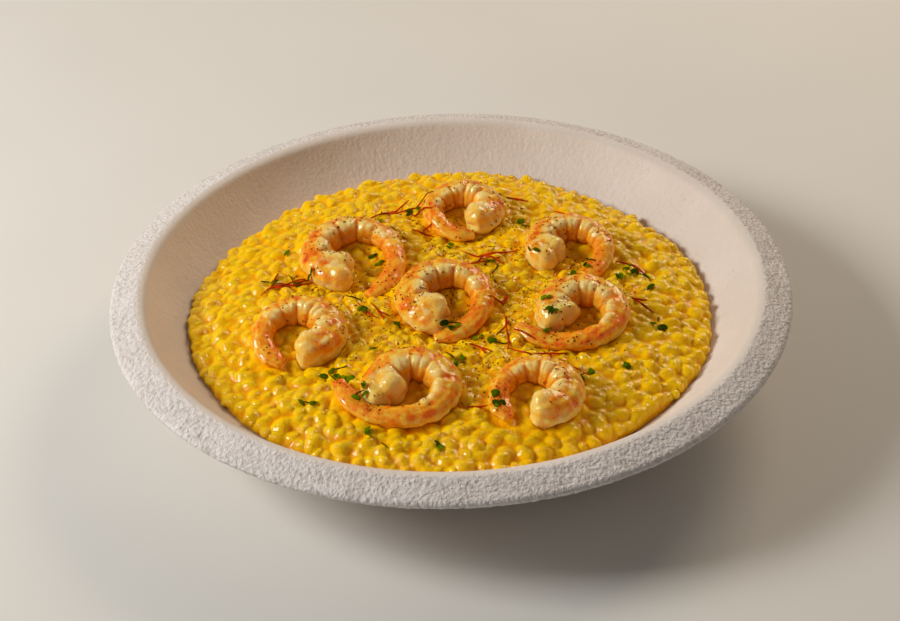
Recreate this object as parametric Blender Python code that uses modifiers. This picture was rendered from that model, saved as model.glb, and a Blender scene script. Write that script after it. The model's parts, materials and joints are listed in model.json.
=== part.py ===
"""Shrimp risotto in a wide stoneware bowl, as separate solids.

A turned bowl holds a low mound of saffron risotto. Eight peeled, curled shrimp lie on the
mound, each sunk about a third of its thickness into a pocket in the rice. Chopped herb
flakes and saffron threads are fused to the rice, and a few flakes to the shrimp.
The bowl stands on z = 0 with its axis on the Z axis. Units are metres, +Z is up, and the
diner sits on the -Y side.
"""
import math
import random
from collections import namedtuple

import bmesh
import bpy
from mathutils import Matrix, Vector, geometry
from mathutils.bvhtree import BVHTree

MM = 0.001

# --- the bowl ---------------------------------------------------------------------------
BOWL_RADIUS = 140 * MM          # outermost edge of the rim
BOWL_HEIGHT = 44 * MM           # top of the rim's ridge above the table
RIDGE_RADIUS = 128 * MM         # centre line of the rounded ridge
RIDGE_ROUND = 4.5 * MM          # rounding radius of the ridge
LIP_ROUND = 2 * MM              # rounding radius of the outer lip
LIP_DROP = 5.2 * MM             # how far the middle of the lip lies below the ridge top
WALL_SLOPE = 58.0               # degrees from level, the inside wall just under the ridge
FLOOR_HEIGHT = 10 * MM          # inside floor above the table
SHELL = 4.2 * MM                # wall thickness
OUTER_TOP = 50.0                # degrees, slope of the outside where it leaves the rim
OUTER_FOOT = 11.0               # degrees, its slope where it meets the foot
FOOT_RADIUS = 78 * MM           # outside of the foot ring
FOOT_WIDTH = 6 * MM
FOOT_RECESS = 1.8 * MM          # the underside lies this far above the table
BOWL_STEPS = 60                 # facets round the bowl

# --- the risotto ------------------------------------------------------------------------
RICE_RADIUS = 109 * MM          # where the rice meets the wall, at its widest
RICE_DOME = 10.5 * MM           # rise of the mound above that line
GAP = 0.3 * MM                  # clearance between neighbouring solids
POCKET_GAP = 0.7 * MM           # growth of the plain shape that cuts a shrimp's pocket
SPOT_CHECKS = 25                # places along a shrimp where its room is measured
GRAIN_PITCH = 7.0 * MM          # spacing of the grain-sized bumps
GRAIN_RISE = 1.0 * MM           # bump above the mean surface
GRAIN_SINK = 0.8 * MM           # hollow below it
EDGE_MARGIN = 2.6 * MM          # from the outline to the nearest bump or hollow
COVERED = 1.0 * MM              # this far in under a shrimp there are no bumps
RICE_SEED = 96

# bays in the outline of the rice: direction and half width in degrees, depth in mm
BAYS = ((45, 42, 4.8), (97, 30, 2.0), (0, 26, 1.6), (140, 44, 3.0), (212, 20, 1.2),
        (256, 30, 2.2), (312, 32, 2.6))

# --- the shrimp -------------------------------------------------------------------------
SINK = 2.6 * MM                 # centre line of a shrimp above the rice round it
SIDES = 10                      # corners of a cross-section
HEAD_TUCK = 2.5 * MM            # how far the head end leans into the curl
HEAD_BULGE = 0.22               # the belly stands out by this share more at the head end
SEGMENTS = 6                    # body segments between the head end and the tail fan
FAN_START = 0.87                # where along the body the tail fan starts
FAN_CUTS = (0.91, 0.955, 1.0)   # cross-sections of the fan

# x, y: middle of the curl. head: direction of the head end as seen from the middle, in
# degrees. turn: sweep from head to tail, negative is clockwise from above. curl: radius
# of the curl. body: half thickness near the head. reach: how far the tail end swings out
# of the curl. lean: tilt of the curl towards the diner, in degrees.
Shrimp = namedtuple("Shrimp", "name x y head turn curl body reach lean")
SHRIMPS = (
    Shrimp("shrimp_1", -40, 26, -112, -324, 16.0, 7.4, 11.5, 6),
    Shrimp("shrimp_2", 5.8, 58, -50, 335, 12.2, 7.1, 5, 6),
    Shrimp("shrimp_3", 52, 27, -150, -285, 13.2, 7.2, 5, 6),
    Shrimp("shrimp_4", -1.3, -9, -112, -350, 14.0, 7.6, 9, 10),
    Shrimp("shrimp_5", 53.5, -21.5, -165, -362, 13.0, 7.2, 14, 10),
    Shrimp("shrimp_6", -62.3, -29, -66, 316, 13.2, 7.4, 4, 8),
    Shrimp("shrimp_7", -16, -67.5, -165, -384, 12.6, 7.4, 16, 12),
    Shrimp("shrimp_8", 31, -71, -76, 306, 12.4, 7.2, 4, 8),
)

# --- the garnish ------------------------------------------------------------------------
FLAKE_SIZE = 2.6 * MM           # a chopped herb leaf
FLAKE_RISE = 0.7 * MM           # its top above what it lies on
FLAKE_ROOT = 2.4 * MM           # height of the chip with its root
FLAKE_ROOM = 2.4 * MM           # from its middle to a shrimp's edge
HERB_SPREAD = 3.5 * MM          # how far flakes lie from the middle of their cluster
GARNISH_SEED = 5

# x, y in mm and number of flakes of each little cluster of herbs
HERBS = (
    (-75, 8, 3), (-62, 10, 2), (-71, 35, 1), (-30, 58, 1), (-13, 64, 2), (-32, 25, 2),
    (-37, -10, 2), (-19, -24, 1), (-22, 49, 1), (-4, 31, 1), (25, 74, 1), (33, 48, 2),
    (34, 16, 1), (54, 14, 2), (78, 14, 4), (82, 2, 1), (72, -7, 1), (81, -22, 2),
    (37, -22, 1), (42, -29, 3), (19, 19, 2), (67, 5, 1), (1, -29, 3), (14, -37, 2),
    (4, -51, 2), (17, -78, 2), (70, -49, 1), (52, -59, 2), (-28, -35, 1), (-50, -51, 2),
    (-41, -59, 3), (-56, -68, 2), (-35, -74, 3), (-30, -89, 2), (-9, -98, 1),
)

THREAD_RADIUS = 0.4 * MM        # a saffron thread
THREAD_STEP = 5.0 * MM          # length of one straight stretch of it
THREAD_ROOM = 1.8 * MM          # from its middle to a shrimp's edge

# start x, y and length in mm, heading and total bend in degrees
Thread = namedtuple("Thread", "x y heading length bend")
THREADS = (
    Thread(-79, 3, 50, 21, -40), Thread(-72, 11, -16, 15, 10), Thread(-36, 58, 25, 31, -35),
    Thread(-16, 48, -13, 9, 0), Thread(-38, -8, -65, 12, 20), Thread(-33, -8, -50, 13, -20),
    Thread(5, 29, -38, 27, 95), Thread(5, 16, 20, 18, 25), Thread(47, 63, -40, 26, 20),
    Thread(26, 73, -20, 10, 15), Thread(70, 19, -15, 13, -20), Thread(71, -7, -30, 15, -30),
    Thread(15, -13, 10, 15, 75), Thread(21, -18, -66, 24, -20), Thread(22, -40, -35, 36, 15),
    Thread(7, -39, -15, 10, -30), Thread(5, -77, -3, 8, 10),
)


def clear_scene():
    for obj in list(bpy.data.objects):
        bpy.data.objects.remove(obj, do_unlink=True)


def new_collection(name):
    group = bpy.data.collections.new(name)
    bpy.context.scene.collection.children.link(group)
    return group


def food_material(name, colour, roughness):
    material = bpy.data.materials.new(name)
    material.use_nodes = True
    shader = material.node_tree.nodes["Principled BSDF"]
    shader.inputs["Base Color"].default_value = (*colour, 1.0)
    shader.inputs["Roughness"].default_value = roughness
    shader.inputs["Metallic"].default_value = 0.0
    return material


def add_object(name, mesh, group):
    obj = bpy.data.objects.new(name, mesh)
    group.objects.link(obj)
    return obj


def mesh_from(bm, name):
    bmesh.ops.recalc_face_normals(bm, faces=bm.faces)
    mesh = bpy.data.meshes.new(name)
    bm.to_mesh(mesh)
    bm.free()
    return mesh


def arc(centre, radius, start, end, steps):
    """Points on an arc in the profile plane, angles in degrees."""
    points = []
    for i in range(steps + 1):
        a = math.radians(start + (end - start) * i / steps)
        points.append((centre[0] + radius * math.cos(a), centre[1] + radius * math.sin(a)))
    return points


# --- bowl -------------------------------------------------------------------------------
def wall_circle():
    """Middle and radius of the arc that the inside follows, tangent to the floor."""
    slope = math.radians(WALL_SLOPE)
    top_r = RIDGE_RADIUS - RIDGE_ROUND * math.sin(slope)
    top_z = BOWL_HEIGHT - RIDGE_ROUND + RIDGE_ROUND * math.cos(slope)
    radius = (top_z - FLOOR_HEIGHT) / (1 - math.cos(slope))
    return (top_r - radius * math.sin(slope), FLOOR_HEIGHT + radius), radius


def rice_slope():
    """Slope of the wall where the rice meets it, in degrees."""
    centre, radius = wall_circle()
    return math.degrees(math.asin((RICE_RADIUS - centre[0]) / radius))


def rice_line():
    """Height at which the rice meets the wall."""
    centre, radius = wall_circle()
    return centre[1] - radius * math.cos(math.radians(rice_slope()))


def wet_wall():
    """Inside of the bowl under the rice, from the floor's edge up to the rice line."""
    centre, radius = wall_circle()
    return arc(centre, radius, -90, -90 + rice_slope(), 3)


def bowl_profile():
    """Half section: inside from the middle outwards, over the rim, back under to the foot."""
    centre, radius = wall_circle()
    dry_wall = arc(centre, radius, -90 + rice_slope(), -90 + WALL_SLOPE, 2)
    ridge = (RIDGE_RADIUS, BOWL_HEIGHT - RIDGE_ROUND)
    lip = (BOWL_RADIUS - LIP_ROUND, BOWL_HEIGHT - LIP_DROP)
    fall = math.atan2(ridge[1] - lip[1], lip[0] - ridge[0])
    fall += math.asin((RIDGE_ROUND - LIP_ROUND) / math.dist(ridge, lip))
    crest = 90 - math.degrees(fall)
    over = arc(ridge, RIDGE_ROUND, 90 + WALL_SLOPE, crest, 3)
    round_lip = arc(lip, LIP_ROUND, crest, -95, 3)
    outside = arc(centre, radius + SHELL, -90 + OUTER_TOP, -90 + OUTER_FOOT, 3)
    foot_in = FOOT_RADIUS - FOOT_WIDTH
    foot = [(FOOT_RADIUS, outside[-1][1]), (FOOT_RADIUS, 0.0), (foot_in, 0.0),
            (foot_in - FOOT_RECESS, FOOT_RECESS), (0.0, FOOT_RECESS)]
    middle = [(0.0, FLOOR_HEIGHT)]
    return middle + wet_wall() + dry_wall[1:-1] + over + round_lip + outside + foot


def make_bowl(group):
    bm = bmesh.new()
    verts = [bm.verts.new((r, 0.0, z)) for r, z in bowl_profile()]
    for a, b in zip(verts, verts[1:]):
        bm.edges.new((a, b))
    mesh = bpy.data.meshes.new("bowl")
    bm.to_mesh(mesh)
    bm.free()
    bowl = add_object("bowl", mesh, group)
    screw = bowl.modifiers.new("turn", "SCREW")
    screw.axis = "Z"
    screw.steps = BOWL_STEPS
    screw.render_steps = BOWL_STEPS
    screw.use_merge_vertices = True
    screw.merge_threshold = 0.01 * MM
    screw.use_smooth_shade = True
    mesh.materials.append(food_material("stoneware", (0.62, 0.57, 0.51), 0.75))
    return bowl


# --- shrimp -----------------------------------------------------------------------------
def ramp(value, low, high):
    """0 below low, 1 above high, and a smooth step between them."""
    t = min(max((value - low) / (high - low), 0.0), 1.0)
    return t * t * (3 - 2 * t)


def curl_point(spec, s):
    """Centre line of a shrimp in the plane of its curl; s runs from head to tail."""
    angle = math.radians(spec.head + spec.turn * s)
    swing = max(s - 0.68, 0.0) / 0.32
    tuck = max(0.2 - s, 0.0) / 0.2
    radius = (spec.curl + spec.reach * swing ** 2) * MM - HEAD_TUCK * tuck ** 2
    return Vector((radius * math.cos(angle), radius * math.sin(angle), 0.0))


def girth(spec, s):
    """Half thickness of the body: blunt at the head end, slim at the tail."""
    blunt = 0.80 + 0.20 * math.sqrt(min(s / 0.05, 1.0))
    taper = 1.0 - 0.45 * ramp(s, 0.30, 0.92)
    fan = 1.0 - 0.55 * ramp(s, 0.95, 1.0)
    return spec.body * MM * blunt * taper * fan


def section(spec, s, phi, relief=1.0):
    """Offsets of the skin from the centre line: outwards in the curl, and up.

    phi is 0 on the back of the shrimp, which is the outside of the curl. relief is the
    share of the knuckles that bulge on the belly side.
    """
    size = girth(spec, s)
    belly = (1 - math.cos(phi)) / 2
    along = min(max(s, 0.0) / FAN_START, 1.0) * SEGMENTS
    knuckle = abs(math.sin(math.pi * along)) ** 0.6 if s < FAN_START else 1.0
    ridge = 1 - relief * (0.05 + 0.20 * belly) * (1 - knuckle)
    flat = ramp(s, FAN_START - 0.05, FAN_START + 0.03)
    bulge = 1 + HEAD_BULGE * belly * (1 - ramp(s, 0.12, 0.36))
    out = size * ridge * bulge * (1.04 + 0.10 * flat) * math.cos(phi)
    up = size * ridge * (0.94 - 0.30 * flat) * math.sin(phi)
    return out, up


def shrimp_placing(spec):
    """Matrix from the plane of the curl to the dish."""
    x, y = spec.x * MM, spec.y * MM
    lift = dome_height(x, y) + SINK
    return Matrix.Translation((x, y, lift)) @ Matrix.Rotation(math.radians(spec.lean), 4, "X")


def stations():
    """Where the cross-sections lie: at each groove, each knuckle, and along the fan."""
    half = FAN_START / (2 * SEGMENTS)
    return [0.0, half / 3] + [half * i for i in range(1, 2 * SEGMENTS + 1)] + list(FAN_CUTS)


def shrimp_mesh(spec, name, relief=1.0, grow=0.0):
    """Loft of unlike cross-sections along the curl, closed at both ends."""
    placing = shrimp_placing(spec)
    bm = bmesh.new()
    rings = []
    for s in stations():
        here = curl_point(spec, s)
        ahead = (curl_point(spec, s + 0.01) - curl_point(spec, s - 0.01)).normalized()
        outward = ahead.cross(Vector((0, 0, 1)))
        if spec.turn < 0:
            outward.negate()
        ring = []
        for k in range(SIDES):
            phi = 2 * math.pi * k / SIDES
            out, up = section(spec, s, phi, relief)
            out += grow * math.cos(phi)
            up += grow * math.sin(phi)
            ring.append(bm.verts.new(placing @ (here + outward * out + Vector((0, 0, up)))))
        rings.append(ring)
    for low, high in zip(rings, rings[1:]):
        for k in range(SIDES):
            n = (k + 1) % SIDES
            bm.faces.new((low[k], low[n], high[n], high[k]))
    for ring, s, back in ((rings[0], 0.0, -1), (rings[-1], 1.0, 1)):
        step = (curl_point(spec, s + 0.01) - curl_point(spec, s - 0.01)).normalized()
        tip = curl_point(spec, s) + step * back * (girth(spec, s) * 0.35 + grow)
        middle = bm.verts.new(placing @ tip)
        for k in range(SIDES):
            bm.faces.new((ring[k], ring[(k + 1) % SIDES], middle))
    return mesh_from(bm, name)


def pocket_mesh(spec):
    """A plainer, larger copy of a shrimp that cuts its bed in the rice."""
    return shrimp_mesh(spec, "pocket", 0.0, POCKET_GAP)


# --- risotto ----------------------------------------------------------------------------
def edge_radius(x, y):
    """Radius of the outline of the rice in the direction of a spot."""
    radius = RICE_RADIUS
    direction = math.degrees(math.atan2(y, x))
    for middle, width, depth in BAYS:
        away = abs((direction - middle + 180) % 360 - 180)
        radius -= depth * MM * (1 - ramp(away, 0, width))
    return radius


def dome_height(x, y):
    """The mound without its grains: nearly flat on top, falling steeply at its edge."""
    far = min(math.hypot(x, y) / edge_radius(x, y), 1.0)
    return rice_line() + RICE_DOME * math.sqrt(1 - far ** 3)


def bed_height(x, y):
    """The mound, tipped a little under each shrimp so that all of it is bedded alike."""
    height = dome_height(x, y)
    for spec in SHRIMPS:
        away = math.hypot(x - spec.x * MM, y - spec.y * MM)
        share = 1 - ramp(away, (spec.curl + 4) * MM, (spec.curl + 15) * MM)
        if share > 0:
            seat = shrimp_placing(spec)
            rise = (y - spec.y * MM) * math.tan(math.radians(spec.lean))
            height += share * (seat.translation.z - SINK + rise - height)
    return height


def grain_spots(draw):
    """Bumps on a shaken square pattern and the hollows between them, as x, y, lift."""
    spots = []
    half = int(RICE_RADIUS / GRAIN_PITCH) + 1
    for row in range(-half, half + 1):
        for column in range(-half, half + 1):
            for shift, lift in ((0.0, GRAIN_RISE), (0.5, -GRAIN_SINK)):
                x = (column + shift + draw.uniform(-0.2, 0.2)) * GRAIN_PITCH
                y = (row + shift + draw.uniform(-0.2, 0.2)) * GRAIN_PITCH
                lift *= draw.uniform(0.5, 1.5)
                inside = math.hypot(x, y) < edge_radius(x, y) - EDGE_MARGIN
                if inside and room_beside(x, y)[0] > -COVERED:
                    spots.append((x, y, lift))
    return spots


def rice_edge():
    """Outline of the rice, each corner on the facet of the wall that it touches."""
    high, low = wet_wall()[-1], wet_wall()[-2]
    edge = []
    for i in range(BOWL_STEPS):
        a = 2 * math.pi * i / BOWL_STEPS
        r = edge_radius(math.cos(a), math.sin(a))
        share = (high[0] - r) / (high[0] - low[0])
        z = high[1] + (low[1] - high[1]) * share
        edge.append(((r - GAP) * math.cos(a), (r - GAP) * math.sin(a), z))
    return edge


def rice_mesh(draw):
    """Closed mound: bumpy top, wall side and floor side a gap away from the bowl."""
    edge = rice_edge()
    spots = [(x, y, bed_height(x, y) + lift) for x, y, lift in grain_spots(draw)]
    points = edge + spots
    loop = [(i, (i + 1) % BOWL_STEPS) for i in range(BOWL_STEPS)]
    flat, _, faces, source, _, _ = geometry.delaunay_2d_cdt(
        [Vector(point[:2]) for point in points], loop, [], 1, 1e-7)
    bm = bmesh.new()
    verts = [bm.verts.new((*spot, points[origin[0]][2])) for spot, origin in zip(flat, source)]
    for face in faces:
        bm.faces.new([verts[i] for i in face])

    # down the wall and across the floor
    ring = [e for e in bm.edges if e.is_boundary]
    for r, z in reversed(wet_wall()[:-1]):
        grown = bmesh.ops.extrude_edge_only(bm, edges=ring)["geom"]
        ring = [g for g in grown if isinstance(g, bmesh.types.BMEdge)]
        for v in [g for g in grown if isinstance(g, bmesh.types.BMVert)]:
            flat_r = math.hypot(v.co.x, v.co.y)
            v.co.x *= (r - GAP) / flat_r
            v.co.y *= (r - GAP) / flat_r
            v.co.z = z + GAP
    bmesh.ops.edgeloop_fill(bm, edges=ring)
    return mesh_from(bm, "risotto")


def room_beside(x, y):
    """Distance from a spot to the nearest shrimp seen from above, and that shrimp."""
    best = (math.inf, None)
    for spec in SHRIMPS:
        placing = shrimp_placing(spec)
        for i in range(SPOT_CHECKS):
            s = i / (SPOT_CHECKS - 1)
            spot = placing @ curl_point(spec, s)
            room = math.hypot(x - spot.x, y - spot.y) - girth(spec, s)
            if room < best[0]:
                best = (room, spec.name)
    return best


def ground(tree, x, y):
    """Point of the rice surface under a spot."""
    return tree.ray_cast(Vector((x, y, 1.0)), Vector((0, 0, -1)))[0]


def flake_mesh(draw, spot):
    """A chopped herb leaf: a four-sided chip with a flat top, its root in what it lies on."""
    bm = bmesh.new()
    bmesh.ops.create_cone(bm, cap_ends=True, cap_tris=False, segments=4,
                          radius1=0.42, radius2=0.5, depth=1.0)
    long = draw.uniform(1.0, 1.5)
    wide = draw.uniform(0.6, 0.9)
    bmesh.ops.scale(bm, verts=bm.verts, vec=(long * FLAKE_SIZE, wide * FLAKE_SIZE, FLAKE_ROOT))
    tilt = Matrix.Rotation(draw.uniform(-0.25, 0.25), 4, "X")
    spin = Matrix.Rotation(draw.uniform(0, 2 * math.pi), 4, "Z")
    rise = Vector((0, 0, FLAKE_RISE - FLAKE_ROOT / 2))
    bm.transform(Matrix.Translation(spot + rise) @ spin @ tilt)
    return mesh_from(bm, "flake")


def flake_spots(draw):
    """Where the herb flakes lie, and what each lies on; none straddles a shrimp's edge."""
    spots = []
    for x, y, count in HERBS:
        for _ in range(count):
            px = x * MM + draw.uniform(-1, 1) * HERB_SPREAD
            py = y * MM + draw.uniform(-1, 1) * HERB_SPREAD
            room, name = room_beside(px, py)
            if room > FLAKE_ROOM:
                spots.append((px, py, "risotto"))
            elif room < -FLAKE_ROOM:
                spots.append((px, py, name))
    return spots


def thread_path(thread, tree):
    """A thread's points on the rice, cut short where it would reach a shrimp."""
    x, y = thread.x * MM, thread.y * MM
    heading = math.radians(thread.heading)
    steps = max(round(thread.length * MM / THREAD_STEP), 2)
    path = []
    for _ in range(steps + 1):
        if room_beside(x, y)[0] > THREAD_ROOM:
            path.append(ground(tree, x, y))
        elif path:
            break
        x += THREAD_STEP * math.cos(heading)
        y += THREAD_STEP * math.sin(heading)
        heading += math.radians(thread.bend) / steps
    return path


def thread_object(path, name, group):
    curve = bpy.data.curves.new(name, "CURVE")
    curve.dimensions = "3D"
    curve.bevel_depth = THREAD_RADIUS
    curve.bevel_resolution = 0
    curve.use_fill_caps = True
    spline = curve.splines.new("POLY")
    spline.points.add(len(path) - 1)
    for point, spot in zip(spline.points, path):
        point.co = (*spot, 1.0)
    guide = add_object(name, curve, group)
    bpy.context.view_layer.update()
    depsgraph = bpy.context.evaluated_depsgraph_get()
    mesh = bpy.data.meshes.new_from_object(guide.evaluated_get(depsgraph))
    bpy.data.objects.remove(guide)
    bm = bmesh.new()
    bm.from_mesh(mesh)
    bmesh.ops.remove_doubles(bm, verts=bm.verts, dist=0.01 * MM)
    bm.to_mesh(mesh)
    bm.free()
    return add_object(name, mesh, group)


def boolean(target, group, operation):
    """One Boolean with every object of a collection, applied; the collection is removed."""
    modifier = target.modifiers.new(operation.lower(), "BOOLEAN")
    modifier.operation = operation
    modifier.operand_type = "COLLECTION"
    modifier.collection = group
    modifier.solver = "EXACT"
    bpy.context.view_layer.update()
    depsgraph = bpy.context.evaluated_depsgraph_get()
    mesh = bpy.data.meshes.new_from_object(target.evaluated_get(depsgraph))
    target.modifiers.remove(modifier)
    target.data = mesh
    for obj in list(group.objects):
        bpy.data.objects.remove(obj, do_unlink=True)
    bpy.data.collections.remove(group)


def keep_main_body(obj):
    """Drop loose scraps and sealed hollows, so that one connected body is left."""
    bm = bmesh.new()
    bm.from_mesh(obj.data)
    left = set(bm.verts)
    bodies = []
    while left:
        stack = [left.pop()]
        body = set(stack)
        while stack:
            for edge in stack.pop().link_edges:
                for v in edge.verts:
                    if v in left:
                        left.remove(v)
                        body.add(v)
                        stack.append(v)
        bodies.append(body)
    bodies.sort(key=len)
    for body in bodies[:-1]:
        bmesh.ops.delete(bm, geom=list(body), context="VERTS")
    bmesh.ops.triangulate(bm, faces=bm.faces)
    bm.to_mesh(obj.data)
    bm.free()


def surface_tree(obj):
    bpy.context.view_layer.update()
    return BVHTree.FromObject(obj, bpy.context.evaluated_depsgraph_get())


def fuse_garnish(obj, spots, threads=()):
    """Join the flakes, and any saffron threads, that lie on an object to it."""
    draw = random.Random(GARNISH_SEED)
    tree = surface_tree(obj)
    garnish = new_collection("garnish")
    for i, (x, y, _) in enumerate(spots):
        add_object(f"flake_{i}", flake_mesh(draw, ground(tree, x, y)), garnish)
    for i, thread in enumerate(threads):
        path = thread_path(thread, tree)
        if len(path) > 2:
            thread_object(path, f"thread_{i}", garnish)
    boolean(obj, garnish, "UNION")
    keep_main_body(obj)


def make_shrimp(spec, spots, group, material):
    shrimp = add_object(spec.name, shrimp_mesh(spec, spec.name), group)
    on_it = [spot for spot in spots if spot[2] == spec.name]
    if on_it:
        fuse_garnish(shrimp, on_it)
    shrimp.data.materials.clear()
    shrimp.data.materials.append(material)


def make_risotto(spots, group):
    risotto = add_object("risotto", rice_mesh(random.Random(RICE_SEED)), group)
    pockets = new_collection("pockets")
    for spec in SHRIMPS:
        add_object(f"pocket_{spec.name}", pocket_mesh(spec), pockets)
    boolean(risotto, pockets, "DIFFERENCE")
    fuse_garnish(risotto, [spot for spot in spots if spot[2] == "risotto"], THREADS)
    risotto.data.materials.clear()
    risotto.data.materials.append(food_material("saffron_rice", (0.65, 0.33, 0.02), 0.4))


def main():
    clear_scene()
    dish = new_collection("shrimp_risotto")
    make_bowl(dish)
    spots = flake_spots(random.Random(GARNISH_SEED))
    cooked = food_material("cooked_shrimp", (0.72, 0.30, 0.08), 0.4)
    for spec in SHRIMPS:
        make_shrimp(spec, spots, dish, cooked)
    make_risotto(spots, dish)
    for obj in dish.objects:
        if obj.name != "bowl":
            obj.data.shade_smooth()
            obj.data.set_sharp_from_angle(angle=math.radians(45))


main()
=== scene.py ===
# %% [markdown]
# # Shrimp risotto in a stoneware bowl
# A wide bowl holds a low mound of saffron risotto with eight curled shrimp, chopped herbs,
# saffron threads and pepper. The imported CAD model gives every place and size. This lesson makes
# the looks: first the camera and light, then the bowl, the shrimp, the rice and the garnish.

# %% Load the frame
import json
import math
import random
from collections import namedtuple

import bmesh
import bpy
import numpy as np
from mathutils import Matrix, Vector, geometry, noise
from mathutils.bvhtree import BVHTree

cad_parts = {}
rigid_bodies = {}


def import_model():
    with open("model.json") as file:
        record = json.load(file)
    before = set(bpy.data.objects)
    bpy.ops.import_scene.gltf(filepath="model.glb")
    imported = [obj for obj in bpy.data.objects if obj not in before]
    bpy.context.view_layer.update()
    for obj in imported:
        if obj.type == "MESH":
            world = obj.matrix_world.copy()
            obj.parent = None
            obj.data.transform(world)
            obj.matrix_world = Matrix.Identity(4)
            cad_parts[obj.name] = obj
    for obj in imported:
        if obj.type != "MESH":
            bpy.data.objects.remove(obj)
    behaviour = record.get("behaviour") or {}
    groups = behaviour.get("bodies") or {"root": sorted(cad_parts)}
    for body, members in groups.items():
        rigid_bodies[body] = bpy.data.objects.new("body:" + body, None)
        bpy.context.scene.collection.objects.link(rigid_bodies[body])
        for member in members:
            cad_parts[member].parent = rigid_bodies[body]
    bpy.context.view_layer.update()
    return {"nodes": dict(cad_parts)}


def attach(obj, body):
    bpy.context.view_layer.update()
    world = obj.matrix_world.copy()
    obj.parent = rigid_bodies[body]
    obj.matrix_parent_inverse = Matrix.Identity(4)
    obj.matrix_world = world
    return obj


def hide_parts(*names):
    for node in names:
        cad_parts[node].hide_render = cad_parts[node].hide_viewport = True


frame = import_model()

MM = 0.001
print("nodes:", sorted(frame["nodes"]))

# %% [markdown]
# ## Small helpers
# Colours are easier to judge as the hex values of a colour picker, but Blender's nodes work in
# linear light, so one function turns hex to linear. One more adds a node of any kind, with its
# settings and links, for materials and for Geometry Nodes alike. It returns the socket that the
# next node reads, so a tree is written as a chain of steps.

# %% Helpers
def colour(code):
    """Linear RGBA of an sRGB hex colour."""
    parts = [int(code[i:i + 2], 16) / 255 for i in (1, 3, 5)]
    return tuple(p / 12.92 if p <= 0.04045 else ((p + 0.055) / 1.055) ** 2.4 for p in parts) + (1,)


def connect(node, inputs):
    """Link each named or numbered input from a socket, or set it to a value."""
    for name, value in inputs.items():
        if isinstance(value, bpy.types.NodeSocket):
            node.id_data.links.new(value, node.inputs[name])
        else:
            node.inputs[name].default_value = value


def add_node(tree, kind, inputs=None, out=None, **settings):
    """Add a node and return its output of that name, or else its first one."""
    node = tree.nodes.new(kind)
    for name, value in settings.items():
        setattr(node, name, value)
    connect(node, inputs or {})
    return node.outputs[out] if out else next(o for o in node.outputs if o.enabled)


def new_material(name):
    """An empty material, its node tree and its Principled shader."""
    made = bpy.data.materials.new(name)
    made.use_nodes = True
    return made, made.node_tree, made.node_tree.nodes["Principled BSDF"]


def add_object(name, data):
    """A new object of the scene, at the origin."""
    made = bpy.data.objects.new(name, data)
    bpy.context.scene.collection.objects.link(made)
    return made


print("#808080 in linear light:", round(colour("#808080")[0], 3))

# %% [markdown]
# ## Camera
# The dish is seen from the diner's side, 34 degrees above the table and quite close, so that its
# front looks larger than its back. A camera in Blender looks along its own -Z axis, so its
# rotation is a matrix of three directions: to its right, up, and back. The camera aims a little
# under the middle of the dish and is rolled a little.

# %% Camera
EYE_DISTANCE = 800 * MM
EYE_ELEVATION = math.radians(34.26)
EYE_ROLL = math.radians(-1.66)
EYE_DROP = math.radians(1.05)
EYE_LENS = 77.69
RIM_MIDDLE = Vector((0, 0, 43.2 * MM))

back = Vector((0, -math.cos(EYE_ELEVATION), math.sin(EYE_ELEVATION)))
rise = Vector((0, math.sin(EYE_ELEVATION), math.cos(EYE_ELEVATION)))
right = Vector((1, 0, 0)) * math.cos(EYE_ROLL) + rise * math.sin(EYE_ROLL)
above = rise * math.cos(EYE_ROLL) - Vector((1, 0, 0)) * math.sin(EYE_ROLL)
aim_back = back * math.cos(EYE_DROP) + above * math.sin(EYE_DROP)
aim_up = above * math.cos(EYE_DROP) - back * math.sin(EYE_DROP)

lens = bpy.data.cameras.new("camera")
lens.lens = EYE_LENS
lens.sensor_width = 36
camera = add_object("camera", lens)
turn = Matrix((right, aim_up, aim_back)).transposed().to_4x4()
camera.matrix_world = Matrix.Translation(RIM_MIDDLE + back * EYE_DISTANCE) @ turn
bpy.context.scene.camera = camera
print("camera at", [round(c, 3) for c in camera.location])

# %% [markdown]
# ## Light and table
# Wet food needs large soft lights, because each grain mirrors them as a small highlight. A
# window-like area light stands at the left, a weaker and warmer one behind on the right fills the
# shadows, and a pale sky lights the rest. Each lamp has a place and a size in metres, a power in
# watts and a tint. The table is a plain pale plane. The Standard view shows colours as they are
# mixed, where the default view would turn this yellow food grey.

# %% Light and table
LAMPS = (("window", (-0.95, -0.05, 0.66), 0.40, 11.2, "#FFFDF8"),
         ("fill", (0.60, 0.85, 0.70), 0.55, 6.4, "#FFE8CA"))
SKY_STRENGTH = 0.17
TABLE_HALF = 4.0

for name, place, size, power, tint in LAMPS:
    lamp = bpy.data.lights.new(name, "AREA")
    lamp.shape = "SQUARE"
    lamp.size = size
    lamp.energy = power
    lamp.color = colour(tint)[:3]
    stand = add_object(name, lamp)
    stand.location = place
    stand.rotation_euler = (-Vector(place)).to_track_quat("-Z", "Y").to_euler()

sky = bpy.data.worlds.new("studio")
sky.use_nodes = True
connect(sky.node_tree.nodes["Background"], {"Color": colour("#F4F1EC"), "Strength": SKY_STRENGTH})
bpy.context.scene.world = sky
bpy.context.scene.view_settings.view_transform = "Standard"

table_paint, tree, shader = new_material("matt_table_paint")
grain = add_node(tree, "ShaderNodeTexNoise", {"Scale": 60.0, "Detail": 3.0})
tones = add_node(tree, "ShaderNodeMix", {"Factor": grain, "A": colour("#DAD7D2"),
                 "B": colour("#E2DFDA")}, data_type="RGBA")
connect(shader, {"Base Color": tones, "Roughness": 0.85})

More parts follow.
